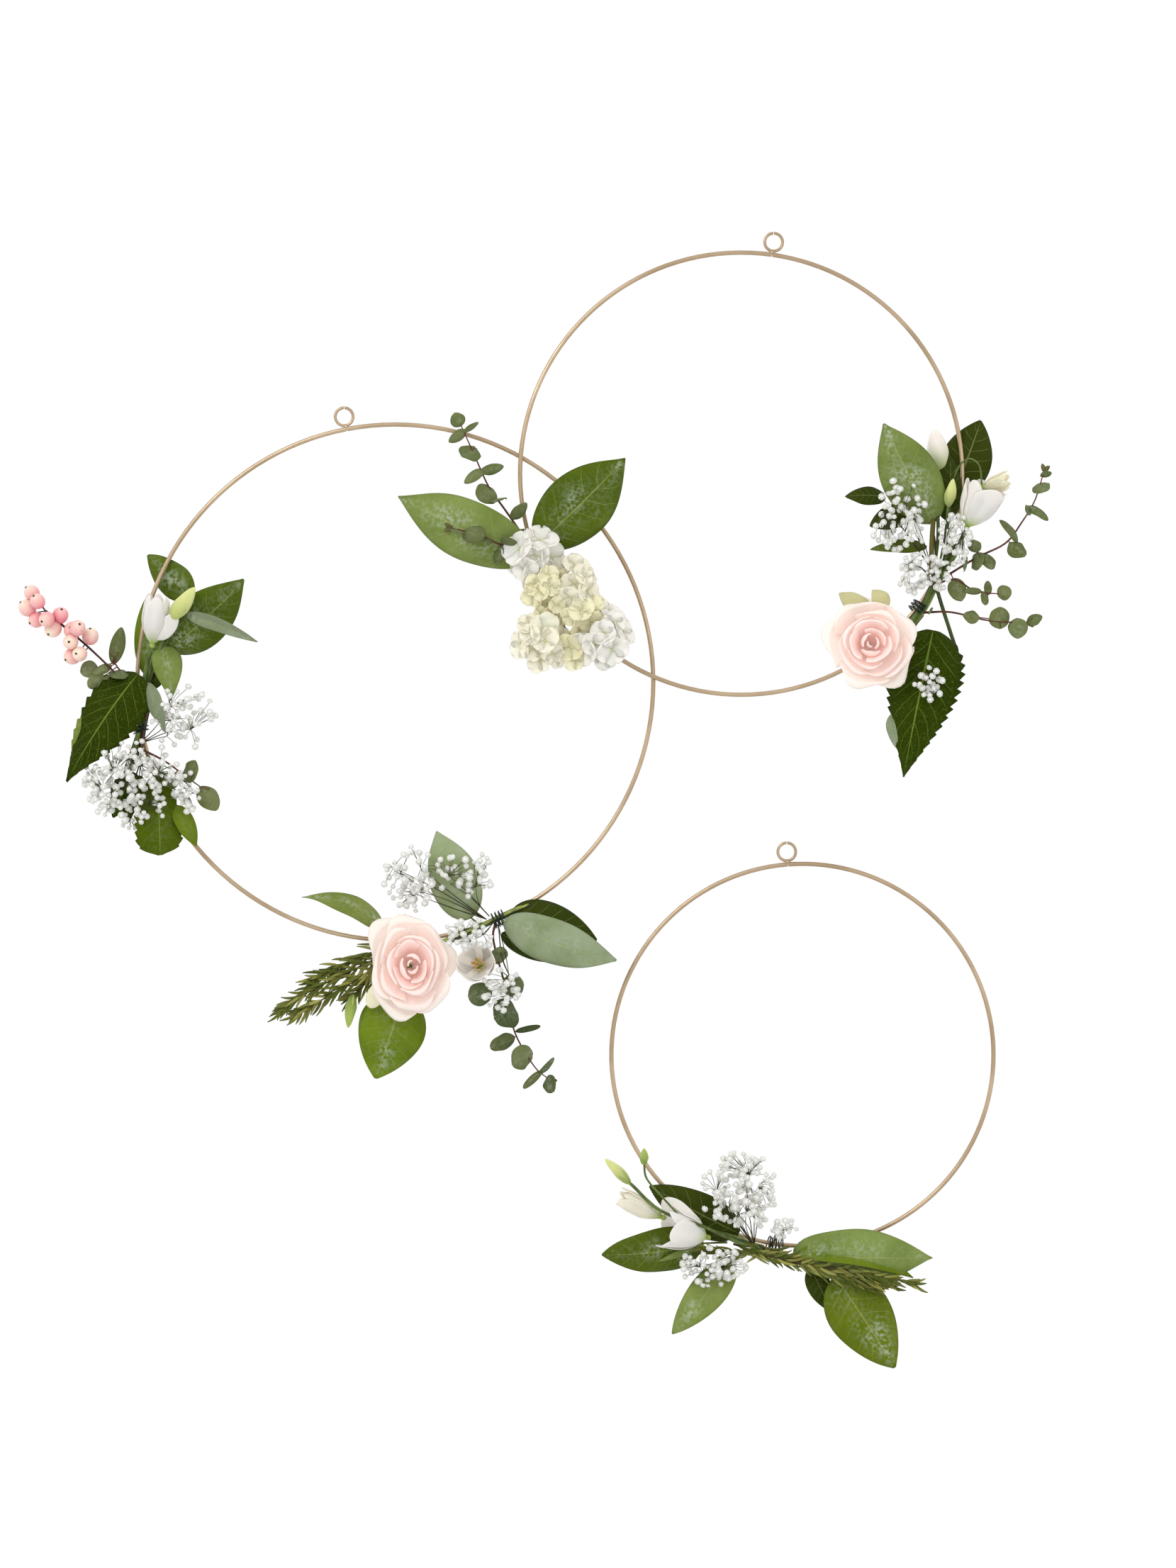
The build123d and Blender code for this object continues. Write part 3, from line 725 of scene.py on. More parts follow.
def leaf_material(name, vein, vein_share, veins=9, slant=0.16, bloom=0.0, roughness=0.42, relief=0.0004,
                  fine=0.07, mesh=0.25):
    """A leaf with a pale midrib, slanting side veins and mottling, and a whitish bloom unless it is dark."""
    material, tree, shader = new_material(name, roughness, specular=0.15, tint=(0.75, 0.85, 0.12, 1))
    tone = attribute(tree, "tone").outputs["Color"]
    along = attribute(tree, "along").outputs["Fac"]
    aside = maths(tree, "ABSOLUTE", attribute(tree, "across").outputs["Fac"])
    midrib = ramp(tree, aside, 0.015, 0.045, 1.0, 0.0)
    slanted = maths(tree, "SUBTRACT", along, maths(tree, "MULTIPLY", aside, slant))
    waver = maths(tree, "MULTIPLY", noise(tree, 60), 0.06)
    line = maths(tree, "PINGPONG", maths(tree, "MULTIPLY", maths(tree, "ADD", slanted, waver), veins), 0.5)
    side_vein = maths(tree, "MULTIPLY", ramp(tree, line, 0.01, fine, 1.0, 0.0),
                      ramp(tree, aside, 0.6, 1.0, 0.7, 0.0))
    mesh_line = ramp(tree, maths(tree, "ABSOLUTE", maths(tree, "SUBTRACT", noise(tree, 330, 2.0), 0.5)),
                     0.0, 0.018, mesh, 0.0)
    all_veins = maths(tree, "MAXIMUM", midrib, maths(tree, "MAXIMUM", side_vein, mesh_line))
    mottled = mix(tree, ramp(tree, noise(tree, 45), 0.3, 0.7, 0.0, 0.7), tone,
                  mix(tree, 1.0, tone, (0.60, 0.66, 0.45), "MULTIPLY"))
    powder = maths(tree, "MULTIPLY", ramp(tree, noise(tree, 420, 8.0), 0.40, 0.62),
                   ramp(tree, noise(tree, 34, 3.0), 0.42, 0.64, 0.12, bloom))
    pale = ramp(tree, tone, 0.055, 0.100)
    waxy = maths(tree, "MULTIPLY", maths(tree, "MULTIPLY", powder, pale),
                 ramp(tree, aside, 0.05, 0.80, 1.0, 0.10))
    frosted = mix(tree, waxy, mottled, (0.38, 0.44, 0.33))
    veined = mix(tree, maths(tree, "MULTIPLY", all_veins, vein_share), frosted, vein)
    tree.links.new(veined, shader.inputs["Base Color"])
    rough = ramp(tree, noise(tree, 120), 0.2, 0.8, roughness - 0.08, roughness + 0.14)
    tree.links.new(rough, shader.inputs["Roughness"])
    sunk = maths(tree, "MULTIPLY", all_veins, -0.8)
    bump(tree, shader, maths(tree, "ADD", sunk, noise(tree, 260)), relief)
    return material


def petal_material(name, roughness=0.62, streak=0.10, speck=0.0, subsurface=0.5, painted_glow=0.04):
    """A soft petal with fine streaks from foot to rim, a little light showing through it, and a faint
    painted glow in its own colour that lifts its shade.
    """
    material, tree, shader = new_material(name, roughness, sheen=0.05, subsurface=subsurface, specular=0.15)
    shader.inputs["Subsurface Radius"].default_value = (1.0, 0.8, 0.7)
    # painted glow: the petal gives off a little light of its own, which lifts its shade
    shader.inputs["Emission Strength"].default_value = painted_glow
    tone = attribute(tree, "tone").outputs["Color"]
    across = maths(tree, "MULTIPLY", attribute(tree, "across").outputs["Fac"], 34.0)
    waver = maths(tree, "MULTIPLY", noise(tree, 90), 2.0)
    rays = maths(tree, "PINGPONG", maths(tree, "ADD", across, waver), 1.0)
    cloud = noise(tree, 140, 5.0)
    shade = maths(tree, "MULTIPLY", maths(tree, "ADD", maths(tree, "MULTIPLY", rays, 0.5), cloud), streak)
    streaked = mix(tree, shade, tone, mix(tree, 1.0, tone, (0.86, 0.76, 0.70), "MULTIPLY"))
    if speck:
        specks = ramp(tree, noise(tree, 420), 0.62, 0.70, 0.0, speck)
        streaked = mix(tree, specks, streaked, (0.60, 0.42, 0.26))
    tree.links.new(streaked, shader.inputs["Base Color"])
    # the painted glow takes the petal's streaked colour
    tree.links.new(streaked, shader.inputs["Emission Color"])
    bump(tree, shader, maths(tree, "ADD", maths(tree, "MULTIPLY", rays, 0.35), cloud), 0.00014, 0.5)
    return material


def stem_material(name, roughness=0.55):
    """A stem with lengthwise fibres, some of them darker."""
    material, tree, shader = new_material(name, roughness, specular=0.3)
    tone = attribute(tree, "tone").outputs["Color"]
    fibre = noise(tree, 240, 6.0, stretch=(1.0, 1.0, 0.25))
    dark = mix(tree, 1.0, tone, (0.5, 0.46, 0.4), "MULTIPLY")
    tree.links.new(mix(tree, ramp(tree, fibre, 0.35, 0.65), dark, tone), shader.inputs["Base Color"])
    bump(tree, shader, fibre, 0.0002)
    return material


def gloss_material(name, roughness=0.3):
    """A berry: smooth skin with faint freckles."""
    material, tree, shader = new_material(name, roughness, subsurface=0.3, specular=0.35)
    shader.inputs["Subsurface Radius"].default_value = (1.0, 0.8, 0.7)
    tone = attribute(tree, "tone").outputs["Color"]
    freckle = ramp(tree, noise(tree, 520, 3.0), 0.55, 0.7, 0.0, 0.25)
    tree.links.new(mix(tree, freckle, tone, (0.66, 0.22, 0.24)), shader.inputs["Base Color"])
    bump(tree, shader, noise(tree, 300), 0.00012)
    return material


def gold_material():
    """Champagne gold wire: satin, with drawn marks and slightly darker patches."""
    material, tree, shader = new_material("champagne_gold", 0.32, metallic=0.85)
    patch = ramp(tree, noise(tree, 25, 5.0), 0.3, 0.75)
    drawn = noise(tree, 900, 3.0)
    tree.links.new(mix(tree, patch, (0.40, 0.29, 0.18), (0.56, 0.43, 0.29)), shader.inputs["Base Color"])
    tree.links.new(ramp(tree, drawn, 0.2, 0.8, 0.24, 0.42), shader.inputs["Roughness"])
    bump(tree, shader, drawn, 0.00008, 0.5)
    return material


SALAL = leaf_material("salal", (0.40, 0.45, 0.16), 0.30, veins=7, bloom=0.80, fine=0.045, mesh=0.10)
HYDRANGEA_LEAF = leaf_material("hydrangea_leaf", (0.15, 0.24, 0.035), 0.75, slant=0.24, roughness=0.5,
                               relief=0.0009, fine=0.05, mesh=0.7)
GUM_LEAF = leaf_material("eucalyptus_leaf", (0.30, 0.31, 0.14), 0.30, veins=8, bloom=0.30, roughness=0.6,
                         mesh=0.1)
NEEDLE = leaf_material("rosemary_needle", (0.42, 0.42, 0.18), 0.25, veins=1, roughness=0.6, mesh=0.0)
# the rose petals get the strongest painted glow, which lifts the shade between them
ROSE = petal_material("rose_petal", 0.6, 0.08, speck=0.04, painted_glow=0.10)
PETAL = petal_material("white_petal", 0.60, 0.12)
TINY = petal_material("gypsophila_floret", 0.7, 0.05, subsurface=0.4)
GREEN = petal_material("green_sepal", 0.55, 0.30, subsurface=0.15)
STEM = stem_material("stem")
BERRY = gloss_material("snowberry")
TIP = stem_material("berry_tip", 0.7)
WIRE = stem_material("binding_wire", 0.35)
GOLD = gold_material()


# ---- a posy ----
def hoop_of(name, body):
    """Centre, centreline radius and body of a hoop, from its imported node."""
    low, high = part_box(f"{name}_hoop")
    wire = (high.y - low.y) / MM
    centre = np.array((low + high) / 2) / MM
    return {"centre": centre, "radius": ((high.x - low.x) / MM - wire) / 2, "body": body}


# What each kind of piece is made of, its slot, and the CAD nodes that it stands for where its posy has them
LOOKS = {
    "stems": (STEM, "stems", ("stem_bundle",)),
    "bud_stem": (STEM, "stems", ("bud_stem",)),
    "cut_stem": (STEM, "stems", ("cut_stem",)),
    "twig": (STEM, "stems", ("berry_twig",)),
    "stalks": (STEM, "stems", ("hydrangea_stalks",)),
    "rosemary_stem": (STEM, "stems", ()),
    "greens": (GREEN, "stems", ()),
    "binding_wire": (WIRE, "binding_wire", ("binding_wire",)),
    "berries": (BERRY, "snowberry", ("snowberries",)),
    "berry_tips": (TIP, "snowberry", ()),
    "salal": (SALAL, "salal_leaf", ("salal_leaves",)),
    "folded": (SALAL, "salal_leaf", ("folded_leaf",)),
    "toothed": (HYDRANGEA_LEAF, "toothed_leaf", ("toothed_leaf",)),
    "low_leaves": (HYDRANGEA_LEAF, "toothed_leaf", ("low_leaves",)),
    "eucalyptus": (GUM_LEAF, "eucalyptus", ("eucalyptus",)),
    "rosemary": (NEEDLE, "rosemary", ("rosemary",)),
    "rose": (ROSE, "rose_petal", ("rose",)),
    "lisianthus": (PETAL, "white_petal", ("lisianthus",)),
    "buds": (PETAL, "white_petal", ("lisianthus_bud", "lisianthus_buds")),
    "hydrangea": (PETAL, "hydrangea", ("hydrangea",)),
    "hearts": (GREEN, "hydrangea", ()),
    "florets": (TINY, "gypsophila", ("gypsophila",)),
}
for side_name in ("left", "right", "lower_right", "front", "back"):
    LOOKS[f"salal_{side_name}"] = (SALAL, "salal_leaf", (f"salal_{side_name}",))


class Posy:
    """The pieces of one posy, a shape for each kind. What is of one kind joins into one piece."""

    def __init__(self, name, hoop, angle, seed, kinds):
        self.name, self.hoop, self.angle = name, hoop, angle
        self.rng = random.Random(seed)
        at = math.radians(angle)
        self.anchor = hoop["centre"] + hoop["radius"] * np.array([math.cos(at), 0, math.sin(at)])
        self.shapes = {kind: Shape() for kind in kinds.split()}

    def __getitem__(self, kind):
        return self.shapes[kind]

    def bundle(self, middle, spread, count):
        stem_bundle(self["stems"], middle, spread, count, self.rng)

    def bind(self, wraps, shift=0.0, pitch=1.25):
        local = dict(self.hoop, centre=self.hoop["centre"] - self.anchor)
        binding_wire(self["binding_wire"], local, self.angle, shift, wraps, pitch)

    def stalk(self, points, radius, tone=GREEN_STEM, **style):
        tube(self["stems"], points, radius, tone, **style)

    def leaf(self, kind, *place, **style):
        leaf(self[kind], *place, rng=self.rng, **style)

    def stalked(self, kind, *place, **style):
        stalked(self[kind], self["stems"], *place, rng=self.rng, **style)

    def rose(self, *place, **style):
        rose(self["rose"], self["greens"], *place, self.rng, **style)

    def lisianthus(self, kind, *place, **style):
        lisianthus(self[kind], self["greens"], *place, self.rng, **style)

    def bud(self, *place, **style):
        bud(self["buds"], self["greens"], *place, self.rng, **style)

    def gypsophila(self, root, centre, size, count, *sizes):
        gypsophila(self["florets"], self["stems"], root, centre, size, count, self.rng, *sizes)

    def eucalyptus(self, *place, **style):
        eucalyptus(self["eucalyptus"], self["stems"], *place, self.rng, **style)

    def rosemary(self, sprig, **style):
        rosemary(self["rosemary"], self["rosemary_stem"], sprig, self.rng, **style)

    def build(self):
        for kind, shape in self.shapes.items():
            material, slot, nodes = LOOKS[kind]
            shape.verts = [tuple((np.array(v) + self.anchor) * MM) for v in shape.verts]
            stands_for = [f"{self.name}_{node_name}" for node_name in nodes]
            shape.build(f"{self.name}_{kind}_look", material, self.hoop["body"], slot,
                        [full_name for full_name in stands_for if full_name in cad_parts])


LARGE = hoop_of("large", "large_frame")
MEDIUM = hoop_of("medium", "medium_frame")
SMALL = hoop_of("small", "small_frame")


def large_left():
    """Snowberries, a great toothed leaf and a cloud of gypsophila."""
    p = Posy("large_left", LARGE, 190.9, 11,
             "stems salal binding_wire berries berry_tips twig eucalyptus folded toothed low_leaves "
             "lisianthus greens buds florets")
    p.bundle([(9, -6, 44), (2, -6, 12), (-1, -6, -4), (-5, -6, -24)], 3.0, 9)
    p.bind(6, -3)
    spots = [(-71, -20, 92), (-74, -20, 82), (-66, -28, 86), (-68, -20, 74), (-60, -28, 74), (-52, -20, 77),
             (-57, -20, 68), (-44, -20, 67), (-39, -32, 68), (-32, -20, 63), (-44, -28, 59), (-44, -20, 50),
             (-38, -28, 51)]
    berries(p["berries"], p["berry_tips"], p["twig"], spots,
            [(-62, -20, 80), (-48, -18, 68), (-34, -16, 56), (-14, -13, 36), (0, -8, 16)], 10.8, p.rng)
    p.eucalyptus([(1, -7, 18), (-8, -10, 34), (-16, -11, 44), (-17, -11, 50)],
                 [(-15, -13, 57, 10, 26), (-14, -14, 38, 14, 14), (-34, -12, 41, 12, 12),
                  (-29, -13, 33, 12, 13), (-25, -14, 41, 6, 14), (-22, -13, 32, 12, 12)])
    p.eucalyptus([(0, -8, -12), (16, -9, -20), (30, -10, -30), (41, -9, -38)],
                 [(34, -12, -27, 13, 17), (46, -11, -45, 14, 20), (20, -11, -34, 11, 12)])
    p.stalked("salal", (8, -3, 40), (33, 4.5, 90), (3, 8, 119), 23, SALAL_MID, arch=0.06, roll=-12)
    p.stalked("salal", (4, -6, 30), (19, -10, 54), (70, -16, 101), 37, SALAL_MID, roll=16, columns=13,
              outline=broad)
    p.stalked("salal", (8, -8, 38), (17, -14, 57), (22, -22, 20), 20, SALAL_LIGHT, roll=-16,
              outline=dripping)
    p.leaf("salal", (6, 3.0, 36), (2, 8, 90), 20, SALAL_BRIGHT, roll=8)
    p.leaf("salal", (6, -17, 32), (18, -20, -1), 13, SILVERY, roll=38, sweep=0.16, arch=0.2)
    p.leaf("salal", (4, -8, 30), (16, -8, 40), 11, SALAL_DARK)
    p.stalked("folded", (16, -12, 56), (31, -20, 78), (80, -28, 59), 9, SILVERY, fold=0.5, cup=0.0,
              roll=12, sweep=0.05, back=SALAL_DARK)
    p.leaf("toothed", (-1, -15, 38), (-47, -26, -34), 38, TOOTHED, teeth=11, roll=12, arch=0.08,
           columns=17, skew=0.08, outline=dripping)
    p.leaf("toothed", (-14, -11, 22), (-44, -19, -24), 22, SALAL_LIGHT, teeth=8, roll=-20, sweep=-0.08)
    p.leaf("low_leaves", (10, -10, -30), (14, -16, -83), 30, TOOTHED_BRIGHT, teeth=10, roll=-14,
           columns=13, outline=blunt)
    p.leaf("low_leaves", (-4, -7, -28), (-18, -10, -58), 19, TOOTHED, teeth=7, roll=15)
    p.leaf("low_leaves", (24, -12, -50), (38, -16, -77), 13, SALAL_BRIGHT, roll=-20)
    p.leaf("low_leaves", (0, -8, -30), (-9, -12, -62), 12, SALAL_DARK, roll=22)
    p.lisianthus("lisianthus", (9, -18, 58), (14, -26, 91), 12.0, openness=0.20, spin=0.5)
    p.leaf("lisianthus", (12, -22, 61), (26, -27, 77), 12, WHITE, back=WHITE, outline=rounded, roll=15)
    p.bud((22, -24, 74), (39, -31, 95), 5.4, tone=LIME_CREAM, foot=BUD_GREEN)
    p.stalk([(23, -24, 75), (16, -18, 60), (6, -11, 38), (0, -7, 10)], 1.35, sides=9)
    p.stalk([(9, -18, 58), (4, -13, 40), (-1, -8, 8)], 1.45, sides=9)
    p.stalk([(19, -12, 56), (8, -12, 38), (3, -8, 12)], 1.0, mixed(GREEN_STEM, OLIVE_STEM, 0.5))
    p.gypsophila((0, -8, -8), (31, -22, 9), (44, 24, 46), 66)
    p.gypsophila((-2, -8, -12), (-3, -24, -34), (70, 26, 56), 190)
    p.gypsophila((4, -8, -18), (32, -18, -41), (22, 14, 28), 26)
    p.gypsophila((0, -8, -20), (-7, -14, -60), (14, 10, 14), 16, 1.0, 1.5)
    p.build()


def large_low():
    """A blush rose among salal, rosemary and gypsophila."""
    p = Posy("large_low", LARGE, 293.6, 23,
             "stems binding_wire rose greens lisianthus buds salal_left salal_right rosemary "
             "rosemary_stem florets eucalyptus")
    p.bundle([(-42, -6, -18), (-10, -6, -4), (3, -6, 2), (22, -6, 10)], 2.4, 10)
    p.bind(7, 0)
    p.rose((-57, -31, -30), (0.05, -1, 0.06), 29.5, 34, squash=1.25, turn=0.9)
    p.lisianthus("lisianthus", (-12, -16, -31), (-15, -36, -27), 14, openness=0.62, petals=5, anthers=4,
                 heart=ANTHER, fade=0.38)
    p.bud((-97, -16, -50), (-100, -20, -72), 3.6, foot=GREEN_STEM, tone=BUD_GREEN)
    p.leaf("lisianthus", (-76, -18, -42), (-86, -22, -58), 12, CREAM, back=CREAM, outline=rounded)
    p.stalked("salal_left", (-10, -6, -3), (-20, -8, 0), (-41, -15, 59), 35, SALAL_FROSTED, roll=6,
              outline=broad)
    p.stalked("salal_left", (-44, -6, -18), (-78, -8, -4), (-131, -15, 15), 17, SALAL_LIGHT, roll=34,
              sweep=-0.07, outline=dripping)
    p.leaf("salal_left", (-64, -9, -50), (-82, -16, -106), 45, SALAL_BRIGHT, roll=-8, columns=13)
    p.stalked("salal_right", (2, -8, 0), (4, -14, -2), (79, -24, -27), 32, SALAL_FROSTED, roll=12,
              outline=broad)
    p.leaf("salal_right", (8, -6, 4), (66, -9, -14), 30, SALAL_DARK, roll=-10)
    p.leaf("salal_right", (2, -7, -10), (50, -10, -28), 16, SALAL_DARK, roll=14)
    for sprig, pairs in (([(-68, -10, -20), (-100, -14, -35), (-130, -16, -50), (-146, -15, -61)], 30),
                         ([(-72, -13, -26), (-98, -17, -42), (-122, -18, -56), (-136, -15, -64)], 24),
                         ([(-70, -9, -16), (-96, -11, -27), (-114, -12, -35), (-126, -12, -42)], 24),
                         ([(-70, -8, -26), (-84, -9, -38), (-94, -10, -48), (-100, -10, -54)], 14)):
        p.rosemary(sprig, pairs=pairs)
    p.gypsophila((-8, -8, 0), (-57, -22, 28), (42, 20, 46), 70)
    p.gypsophila((-6, -8, 2), (-21, -27, 32), (40, 18, 36), 42)
    p.gypsophila((-2, -8, 0), (-18, -38, -8), (38, 14, 24), 38)
    p.gypsophila((0, -8, -4), (3, -32, -45), (28, 16, 34), 38)
    p.eucalyptus([(-2, -8, -2), (-3, -13, -15), (6, -15, -49), (11, -14, -75), (24, -13, -98),
                  (34, -12, -107)],
                 [(0, -17, -24, 13, 18), (-12, -17, -50, 16, 16), (5, -18, -63, 21, 22),
                  (10, -17, -44, 15, 16), (3, -16, -82, 12, 18), (20, -15, -73, 4, 17),
                  (16, -15, -92, 17, 17), (32, -14, -98, 4, 16), (23, -14, -107, 5, 17),
                  (35, -14, -110, 11, 13)], tone=EUCALYPTUS_DARK, outline=rounded)
    p.build()


def medium_left():
    """A trailing hydrangea head under two broad salal leaves."""
    p = Posy("medium_left", MEDIUM, 206.3, 37,
             "stems binding_wire hydrangea hearts stalks salal_right salal_left eucalyptus")
    p.bundle([(-14, -6, 28), (-5, -6, 10), (0, -6, 0), (8, -6, -16)], 1.6, 7)
    p.bind(5, 2)
    cream = mixed(HYDRANGEA, HYDRANGEA_WHITE, 0.5)
    hydrangea(p["hydrangea"], p["hearts"], p["stalks"], (3, -10, -6), [
        ((-6, -22, 9), 18, 11.5, HYDRANGEA_WHITE), ((3, -24, -11), 16, 8.0, HYDRANGEA),
        ((20, -25, -10), 17, 9.0, cream), ((8, -24, -24), 13, 7.5, HYDRANGEA),
        ((25, -25, -28), 16, 8.5, HYDRANGEA), ((39, -24, -43), 21, 10.5, HYDRANGEA_WHITE),
        ((0, -23, -48), 19, 9.5, cream), ((20, -22, -53), 13, 9.0, HYDRANGEA)], p.rng)
    p.stalked("salal_right", (-6, -8, 14), (-3, -12, 18), (55, -24, 74), 46, SALAL_MID, roll=10,
              columns=15, outline=broad)
    p.stalked("salal_left", (-6, -7, 12), (-9, -10, 9), (-96, -22, 49), 42, SALAL_LIGHT, roll=-12,
              columns=15, outline=broad)
    p.eucalyptus([(-12, -7, 22), (-26, -8, 42), (-36, -8, 56), (-46, -9, 78), (-55, -9, 98)],
                 [(-57, -10, 101, 10, 10), (-48, -10, 96, 4, 12), (-57, -11, 90, 7, 15),
                  (-49, -11, 79, 16, 14), (-34, -11, 68, 7, 17), (-46, -10, 63, 7, 16),
                  (-38, -11, 51, 16, 15), (-30, -12, 47, 12, 12), (-16, -11, 40, 8, 16)])
    p.eucalyptus([(-8, -9, 14), (-28, -20, 17), (-44, -25, 24), (-60, -26, 27)],
                 [(-56, -27, 26, 10, 12), (-46, -27, 24, 13, 17), (-36, -27, 19, 5, 13),
                  (-22, -25, 18, 11, 13), (-29, -25, 9, 8, 15)],
                 tone=mixed(EUCALYPTUS, EUCALYPTUS_DARK, 0.4))
    p.build()


def medium_right():
    """A rose, a toothed leaf below it and eucalyptus sprigs to the right."""
    p = Posy("medium_right", MEDIUM, 323.8, 41,
             "stems binding_wire rose greens toothed salal_front salal_back lisianthus buds florets "
             "eucalyptus cut_stem")
    p.bundle([(24, -6, 40), (10, -6, 14), (2, -6, -2), (-9, -6, -16)], 2.2, 9)
    p.bind(6, -3)
    p.rose((-35, -34, -28), (-0.05, -1, 0.05), 32.5, 35, petals=21, sharp=1.3, turn=2.3)
    p.leaf("greens", (-36, -26, -6), (-56, -30, 6), 14, SEPAL, back=SEPAL, roll=-20)
    p.leaf("greens", (-24, -26, -4), (-34, -29, 8), 13, SEPAL, back=SEPAL, roll=15)
    p.leaf("toothed", (8, -12, -18), (-13, -25, -116), 47, TOOTHED, teeth=16, roll=8, arch=0.06,
           columns=17, outline=dripping, skew=0.05)
    p.leaf("toothed", (-20, -19, -74), (-14, -25, -100), 9, SILVERY, roll=-15, sweep=-0.10)
    p.stalked("salal_front", (10, -8, 34), (8, -12, 54), (-26, -24, 119), 40, SALAL_LIGHT, roll=-10,
              columns=15, outline=broad)
    p.leaf("salal_front", (-24, -13, 71), (-51, -16, 71), 13, SALAL_DARK, roll=20)
    p.leaf("salal_front", (-10, -9, 62), (-34, -9, 52), 16, SALAL_DARK)
    p.leaf("salal_front", (4, -9, 38), (-34, -12, 36), 10, SALAL_MID, roll=25)
    p.leaf("salal_back", (24, 4, 76), (42, 8, 124), 34, SALAL_DARK, columns=13)
    p.leaf("salal_back", (18, -4, 56), (20, -3, 100), 18, SALAL_DARK, roll=12)
    p.lisianthus("lisianthus", (30, -20, 51), (44, -28, 79), 16, openness=0.62, spin=0.3)
    p.lisianthus("buds", (40, -19, 77), (58, -25, 82), 7.0, openness=0.5, ruffle=0.14, tone=CREAM,
                 heart=mixed(LIME, CREAM, 0.5))
    p.bud((13, -6, 90), (9, -9, 117), 7.0, tone=WHITE)
    p.bud((17, -22, 64), (20, -27, 82), 3.6, foot=GREEN_STEM, tone=LIME_CREAM)
    p.stalk([(30, -20, 51), (23, -13, 34), (12, -8, 14)], 1.3, sides=9)
    p.stalk([(40, -19, 77), (38, -18, 92), (30, -16, 96), (22, -12, 84), (18, -9, 50)], 0.6)
    p.stalk([(17, -22, 64), (15, -13, 40), (9, -8, 12)], 0.8)
    p.stalk([(8, -13, 56), (7, -13, 40), (7, -9, 20)], 1.7, mixed(GREEN_STEM, ANTHER, 0.35), sides=9)
    p.stalk([(11, -14, 58), (11, -13, 42), (8, -9, 18)], 1.2, mixed(GREEN_STEM, SALAL_DARK, 0.6), sides=9)
    p.gypsophila((8, -8, 22), (-16, -26, 56), (40, 20, 50), 74)
    p.gypsophila((14, -8, 22), (22, -24, 42), (22, 20, 34), 44)
    p.gypsophila((8, -8, 10), (1, -26, 19), (38, 20, 28), 66)
    p.stalk([(2, -8, -8), (-10, -12, -24), (-12, -13, -40)], 0.36, OLIVE_STEM, sides=5)
    p.gypsophila((-12, -13, -40), (4, -28, -54), (22, 12, 24), 24)
    p.eucalyptus([(10, -8, 14), (36, -13, 30), (56, -14, 40), (67, -14, 54), (76, -13, 69),
                  (82, -12, 88)],
                 [(35, -16, 38, 9, 10), (29, -15, 26, 10, 10), (37, -16, 28, 12, 15),
                  (44, -16, 28, 12, 14), (58, -16, 48, 6, 21), (64, -16, 36, 13, 14),
                  (77, -16, 60, 7, 19), (71, -16, 62, 4, 17), (80, -15, 77, 12, 14), (83, -15, 86, 4, 12),
                  (24, -14, 9, 12, 17)])
    p.eucalyptus([(8, -8, 12), (22, -12, 16), (36, -15, 8), (53, -16, 6)],
                 [(34, -16, 8, 5, 12), (42, -18, 3, 6, 11), (44, -17, 10, 5, 10), (55, -17, 7, 10, 10)])
    p.eucalyptus([(2, -9, -6), (20, -14, -6), (46, -17, -12), (70, -17, -13)],
                 [(33, -17, -9, 10, 11), (52, -18, -10, 14, 15), (64, -18, -17, 13, 14),
                  (75, -18, -11, 8, 11), (6, -14, -5, 5, 9)])
    tube(p["cut_stem"], [(9, -6, 18), (14, -6, 0), (26, -6, -37)], 1.3,
         mixed(GREEN_STEM, SALAL_DARK, 0.6), sides=10)
    p.build()


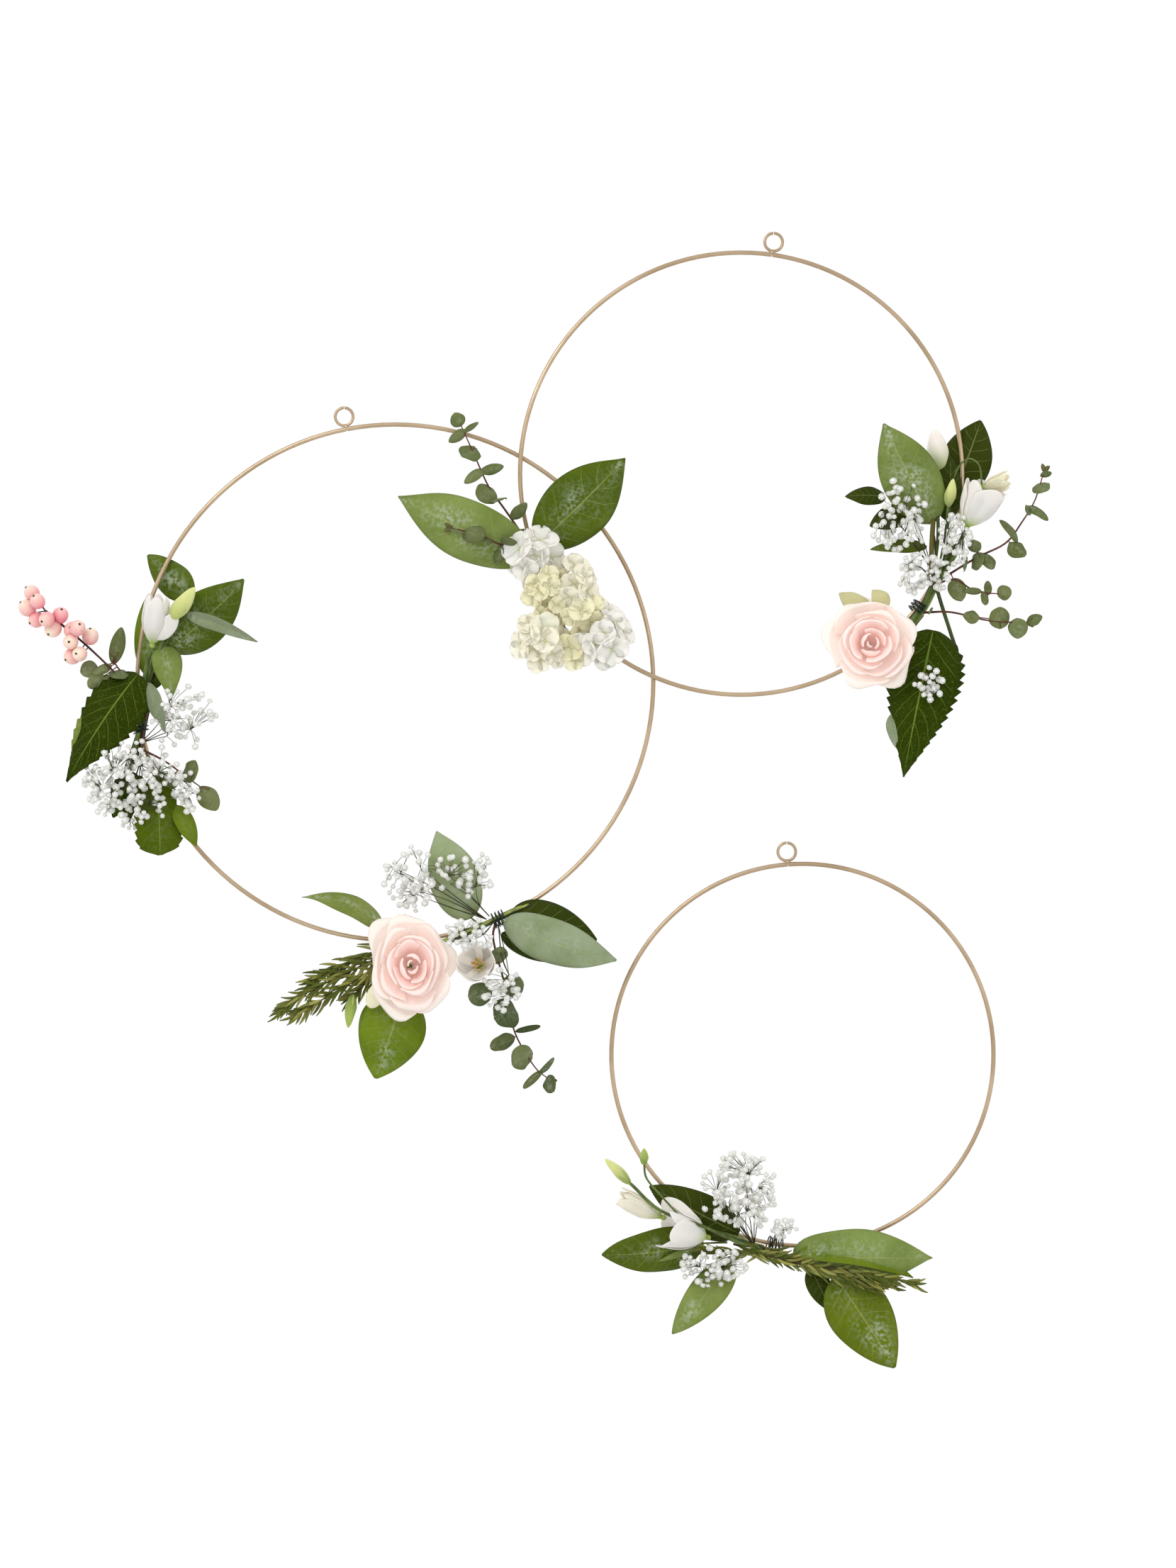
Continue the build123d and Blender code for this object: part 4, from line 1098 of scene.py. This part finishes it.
def small_low():
    """Lisianthus and gypsophila between long salal leaves and a line of rosemary."""
    p = Posy("small_low", SMALL, 262.4, 53,
             "stems binding_wire salal_left salal_right salal_lower_right lisianthus greens buds "
             "bud_stem florets rosemary rosemary_stem")
    p.bundle([(-44, -7, 10), (-12, -7, -1), (4, -7, -7), (46, -7, -24)], 3.0, 13)
    p.bind(5, -2, pitch=2.2)
    p.stalked("salal_left", (-34, -6, 2), (-50, -9, 2), (-118, -16, -5), 31, SALAL_MID, roll=-12)
    p.stalked("salal_left", (-22, -8, -2), (-30, -14, -10), (-71, -22, -57), 24, SALAL_LIGHT, roll=8)
    p.leaf("salal_left", (-26, -5, 8), (-86, -8, 40), 28, SALAL_DARK)
    p.leaf("salal_left", (-50, -13, 2), (-80, -18, -9), 5, SALAL_LIGHT)
    p.stalked("salal_right", (4, -9, -6), (10, -15, -5), (102, -26, -6), 38, SALAL_LIGHT, roll=12,
              sweep=0.03, columns=13, outline=broad)
    p.leaf("salal_right", (11, -18, -5), (89, -27, -19), 15, SALAL_BRIGHT, roll=-26, fold=0.35, cup=0.0,
           sweep=0.06)
    p.leaf("salal_right", (44, -5, -14), (84, -7, 0), 16, SALAL_DARK)
    p.stalked("salal_lower_right", (34, -8, -19), (38, -14, -20), (77, -25, -79), 42, SALAL_BRIGHT,
              roll=-6, columns=15)
    p.leaf("salal_lower_right", (22, -5, -15), (36, -8, -44), 16, SALAL_DARK)
    p.lisianthus("lisianthus", (-48, -18, 7), (-78, -27, 15), 15, openness=0.66, spin=0.4)
    p.leaf("lisianthus", (-52, -17, 9), (-77, -22, 33), 17, WHITE, back=WHITE, outline=rounded, roll=-14)
    p.lisianthus("lisianthus", (-78, -22, 21), (-108, -28, 36), 9.5, openness=0.20, ruffle=0.07,
                 tone=mixed(WHITE, CREAM, 0.6))
    p.bud((-99, -30, 44), (-116, -34, 61), 3.4, foot=GREEN_STEM, tone=LIME_CREAM)
    p.bud((-90, -33, 57), (-90, -35, 68), 2.7, foot=GREEN_STEM, tone=BUD_GREEN)
    tube(p["bud_stem"], [(-99, -30, 44), (-79, -30, 26), (-50, -27, 15), (-26, -18, 3), (-2, -9, -4)],
         1.1, GREEN_STEM)
    tube(p["bud_stem"], [(-90, -33, 57), (-88, -31, 47), (-76, -30, 33), (-66, -28, 22)], 0.7, GREEN_STEM)
    p.gypsophila((-16, -9, 0), (-26, -25, 38), (52, 20, 56), 150)
    p.gypsophila((-6, -9, -2), (3, -20, 13), (20, 12, 14), 18)
    p.gypsophila((-20, -9, -4), (-44, -29, -11), (46, 16, 28), 62)
    for sprig, pairs in (([(-30, -14, 2), (4, -22, -8), (56, -32, -15), (94, -32, -23)], 34),
                         ([(-12, -12, 0), (24, -24, -12), (56, -28, -20), (78, -26, -25)], 26),
                         ([(6, -12, -6), (34, -20, -16), (52, -24, -22), (66, -24, -27)], 16),
                         ([(-4, -12, -4), (-24, -18, -4), (-40, -20, -2), (-50, -20, -1)], 12)):
        p.rosemary(sprig, needle=16, pairs=pairs, spread=0.52)
    p.build()


for make_posy in (large_left, large_low, medium_left, medium_right, small_low):
    make_posy()

for name, cad_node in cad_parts.items():
    if name.endswith(("_hoop", "_hanging_ring", "_ring_braze")):
        cad_node.data.materials.clear()
        cad_node.data.materials.append(GOLD)


# ---- camera, floor and light ----
def camera():
    """Straight on to the front, so that the whole set fills an upright picture."""
    data = bpy.data.cameras.new("camera")
    data.lens = 85
    eye = bpy.data.objects.new("camera", data)
    eye.location = (0.164, -2.49, -0.247)
    eye.rotation_euler = (math.pi / 2, 0, 0)
    bpy.context.scene.collection.objects.link(eye)
    bpy.context.scene.camera = eye


def floor():
    """A small pale floor below the hanging set."""
    mesh = bpy.data.meshes.new("floor")
    left, right, near, far, level = -0.9, 1.2, -0.8, 0.6, -1.0
    corners = [(left, near, level), (right, near, level), (right, far, level), (left, far, level)]
    mesh.from_pydata(corners, [], [(0, 1, 2, 3)])
    material, tree, shader = new_material("floor", 0.9)
    pale = mix(tree, noise(tree, 8), (0.80, 0.80, 0.80), (0.84, 0.84, 0.84))
    tree.links.new(pale, shader.inputs["Base Color"])
    mesh.materials.append(material)
    ground = bpy.data.objects.new("floor", mesh)
    bpy.context.scene.collection.objects.link(ground)


def area_light(name, place, aim, size, power):
    data = bpy.data.lights.new(name, "AREA")
    data.size, data.energy = size, power
    lamp = bpy.data.objects.new(name, data)
    lamp.location = place
    lamp.rotation_euler = (Vector(aim) - Vector(place)).to_track_quat("-Z", "Y").to_euler()
    bpy.context.scene.collection.objects.link(lamp)


def light():
    world = bpy.data.worlds.new("studio")
    world.use_nodes = True
    world.node_tree.nodes["Background"].inputs["Color"].default_value = (1, 1, 1, 1)
    world.node_tree.nodes["Background"].inputs["Strength"].default_value = 1.0
    bpy.context.scene.world = world
    middle = (0.15, 0, -0.25)
    area_light("key", (-0.9, -1.6, 1.0), middle, 0.9, 12)
    area_light("fill", (1.5, -1.8, 0.1), middle, 1.4, 3)
    bpy.context.scene.view_settings.view_transform = "Standard"


camera()
floor()
light()
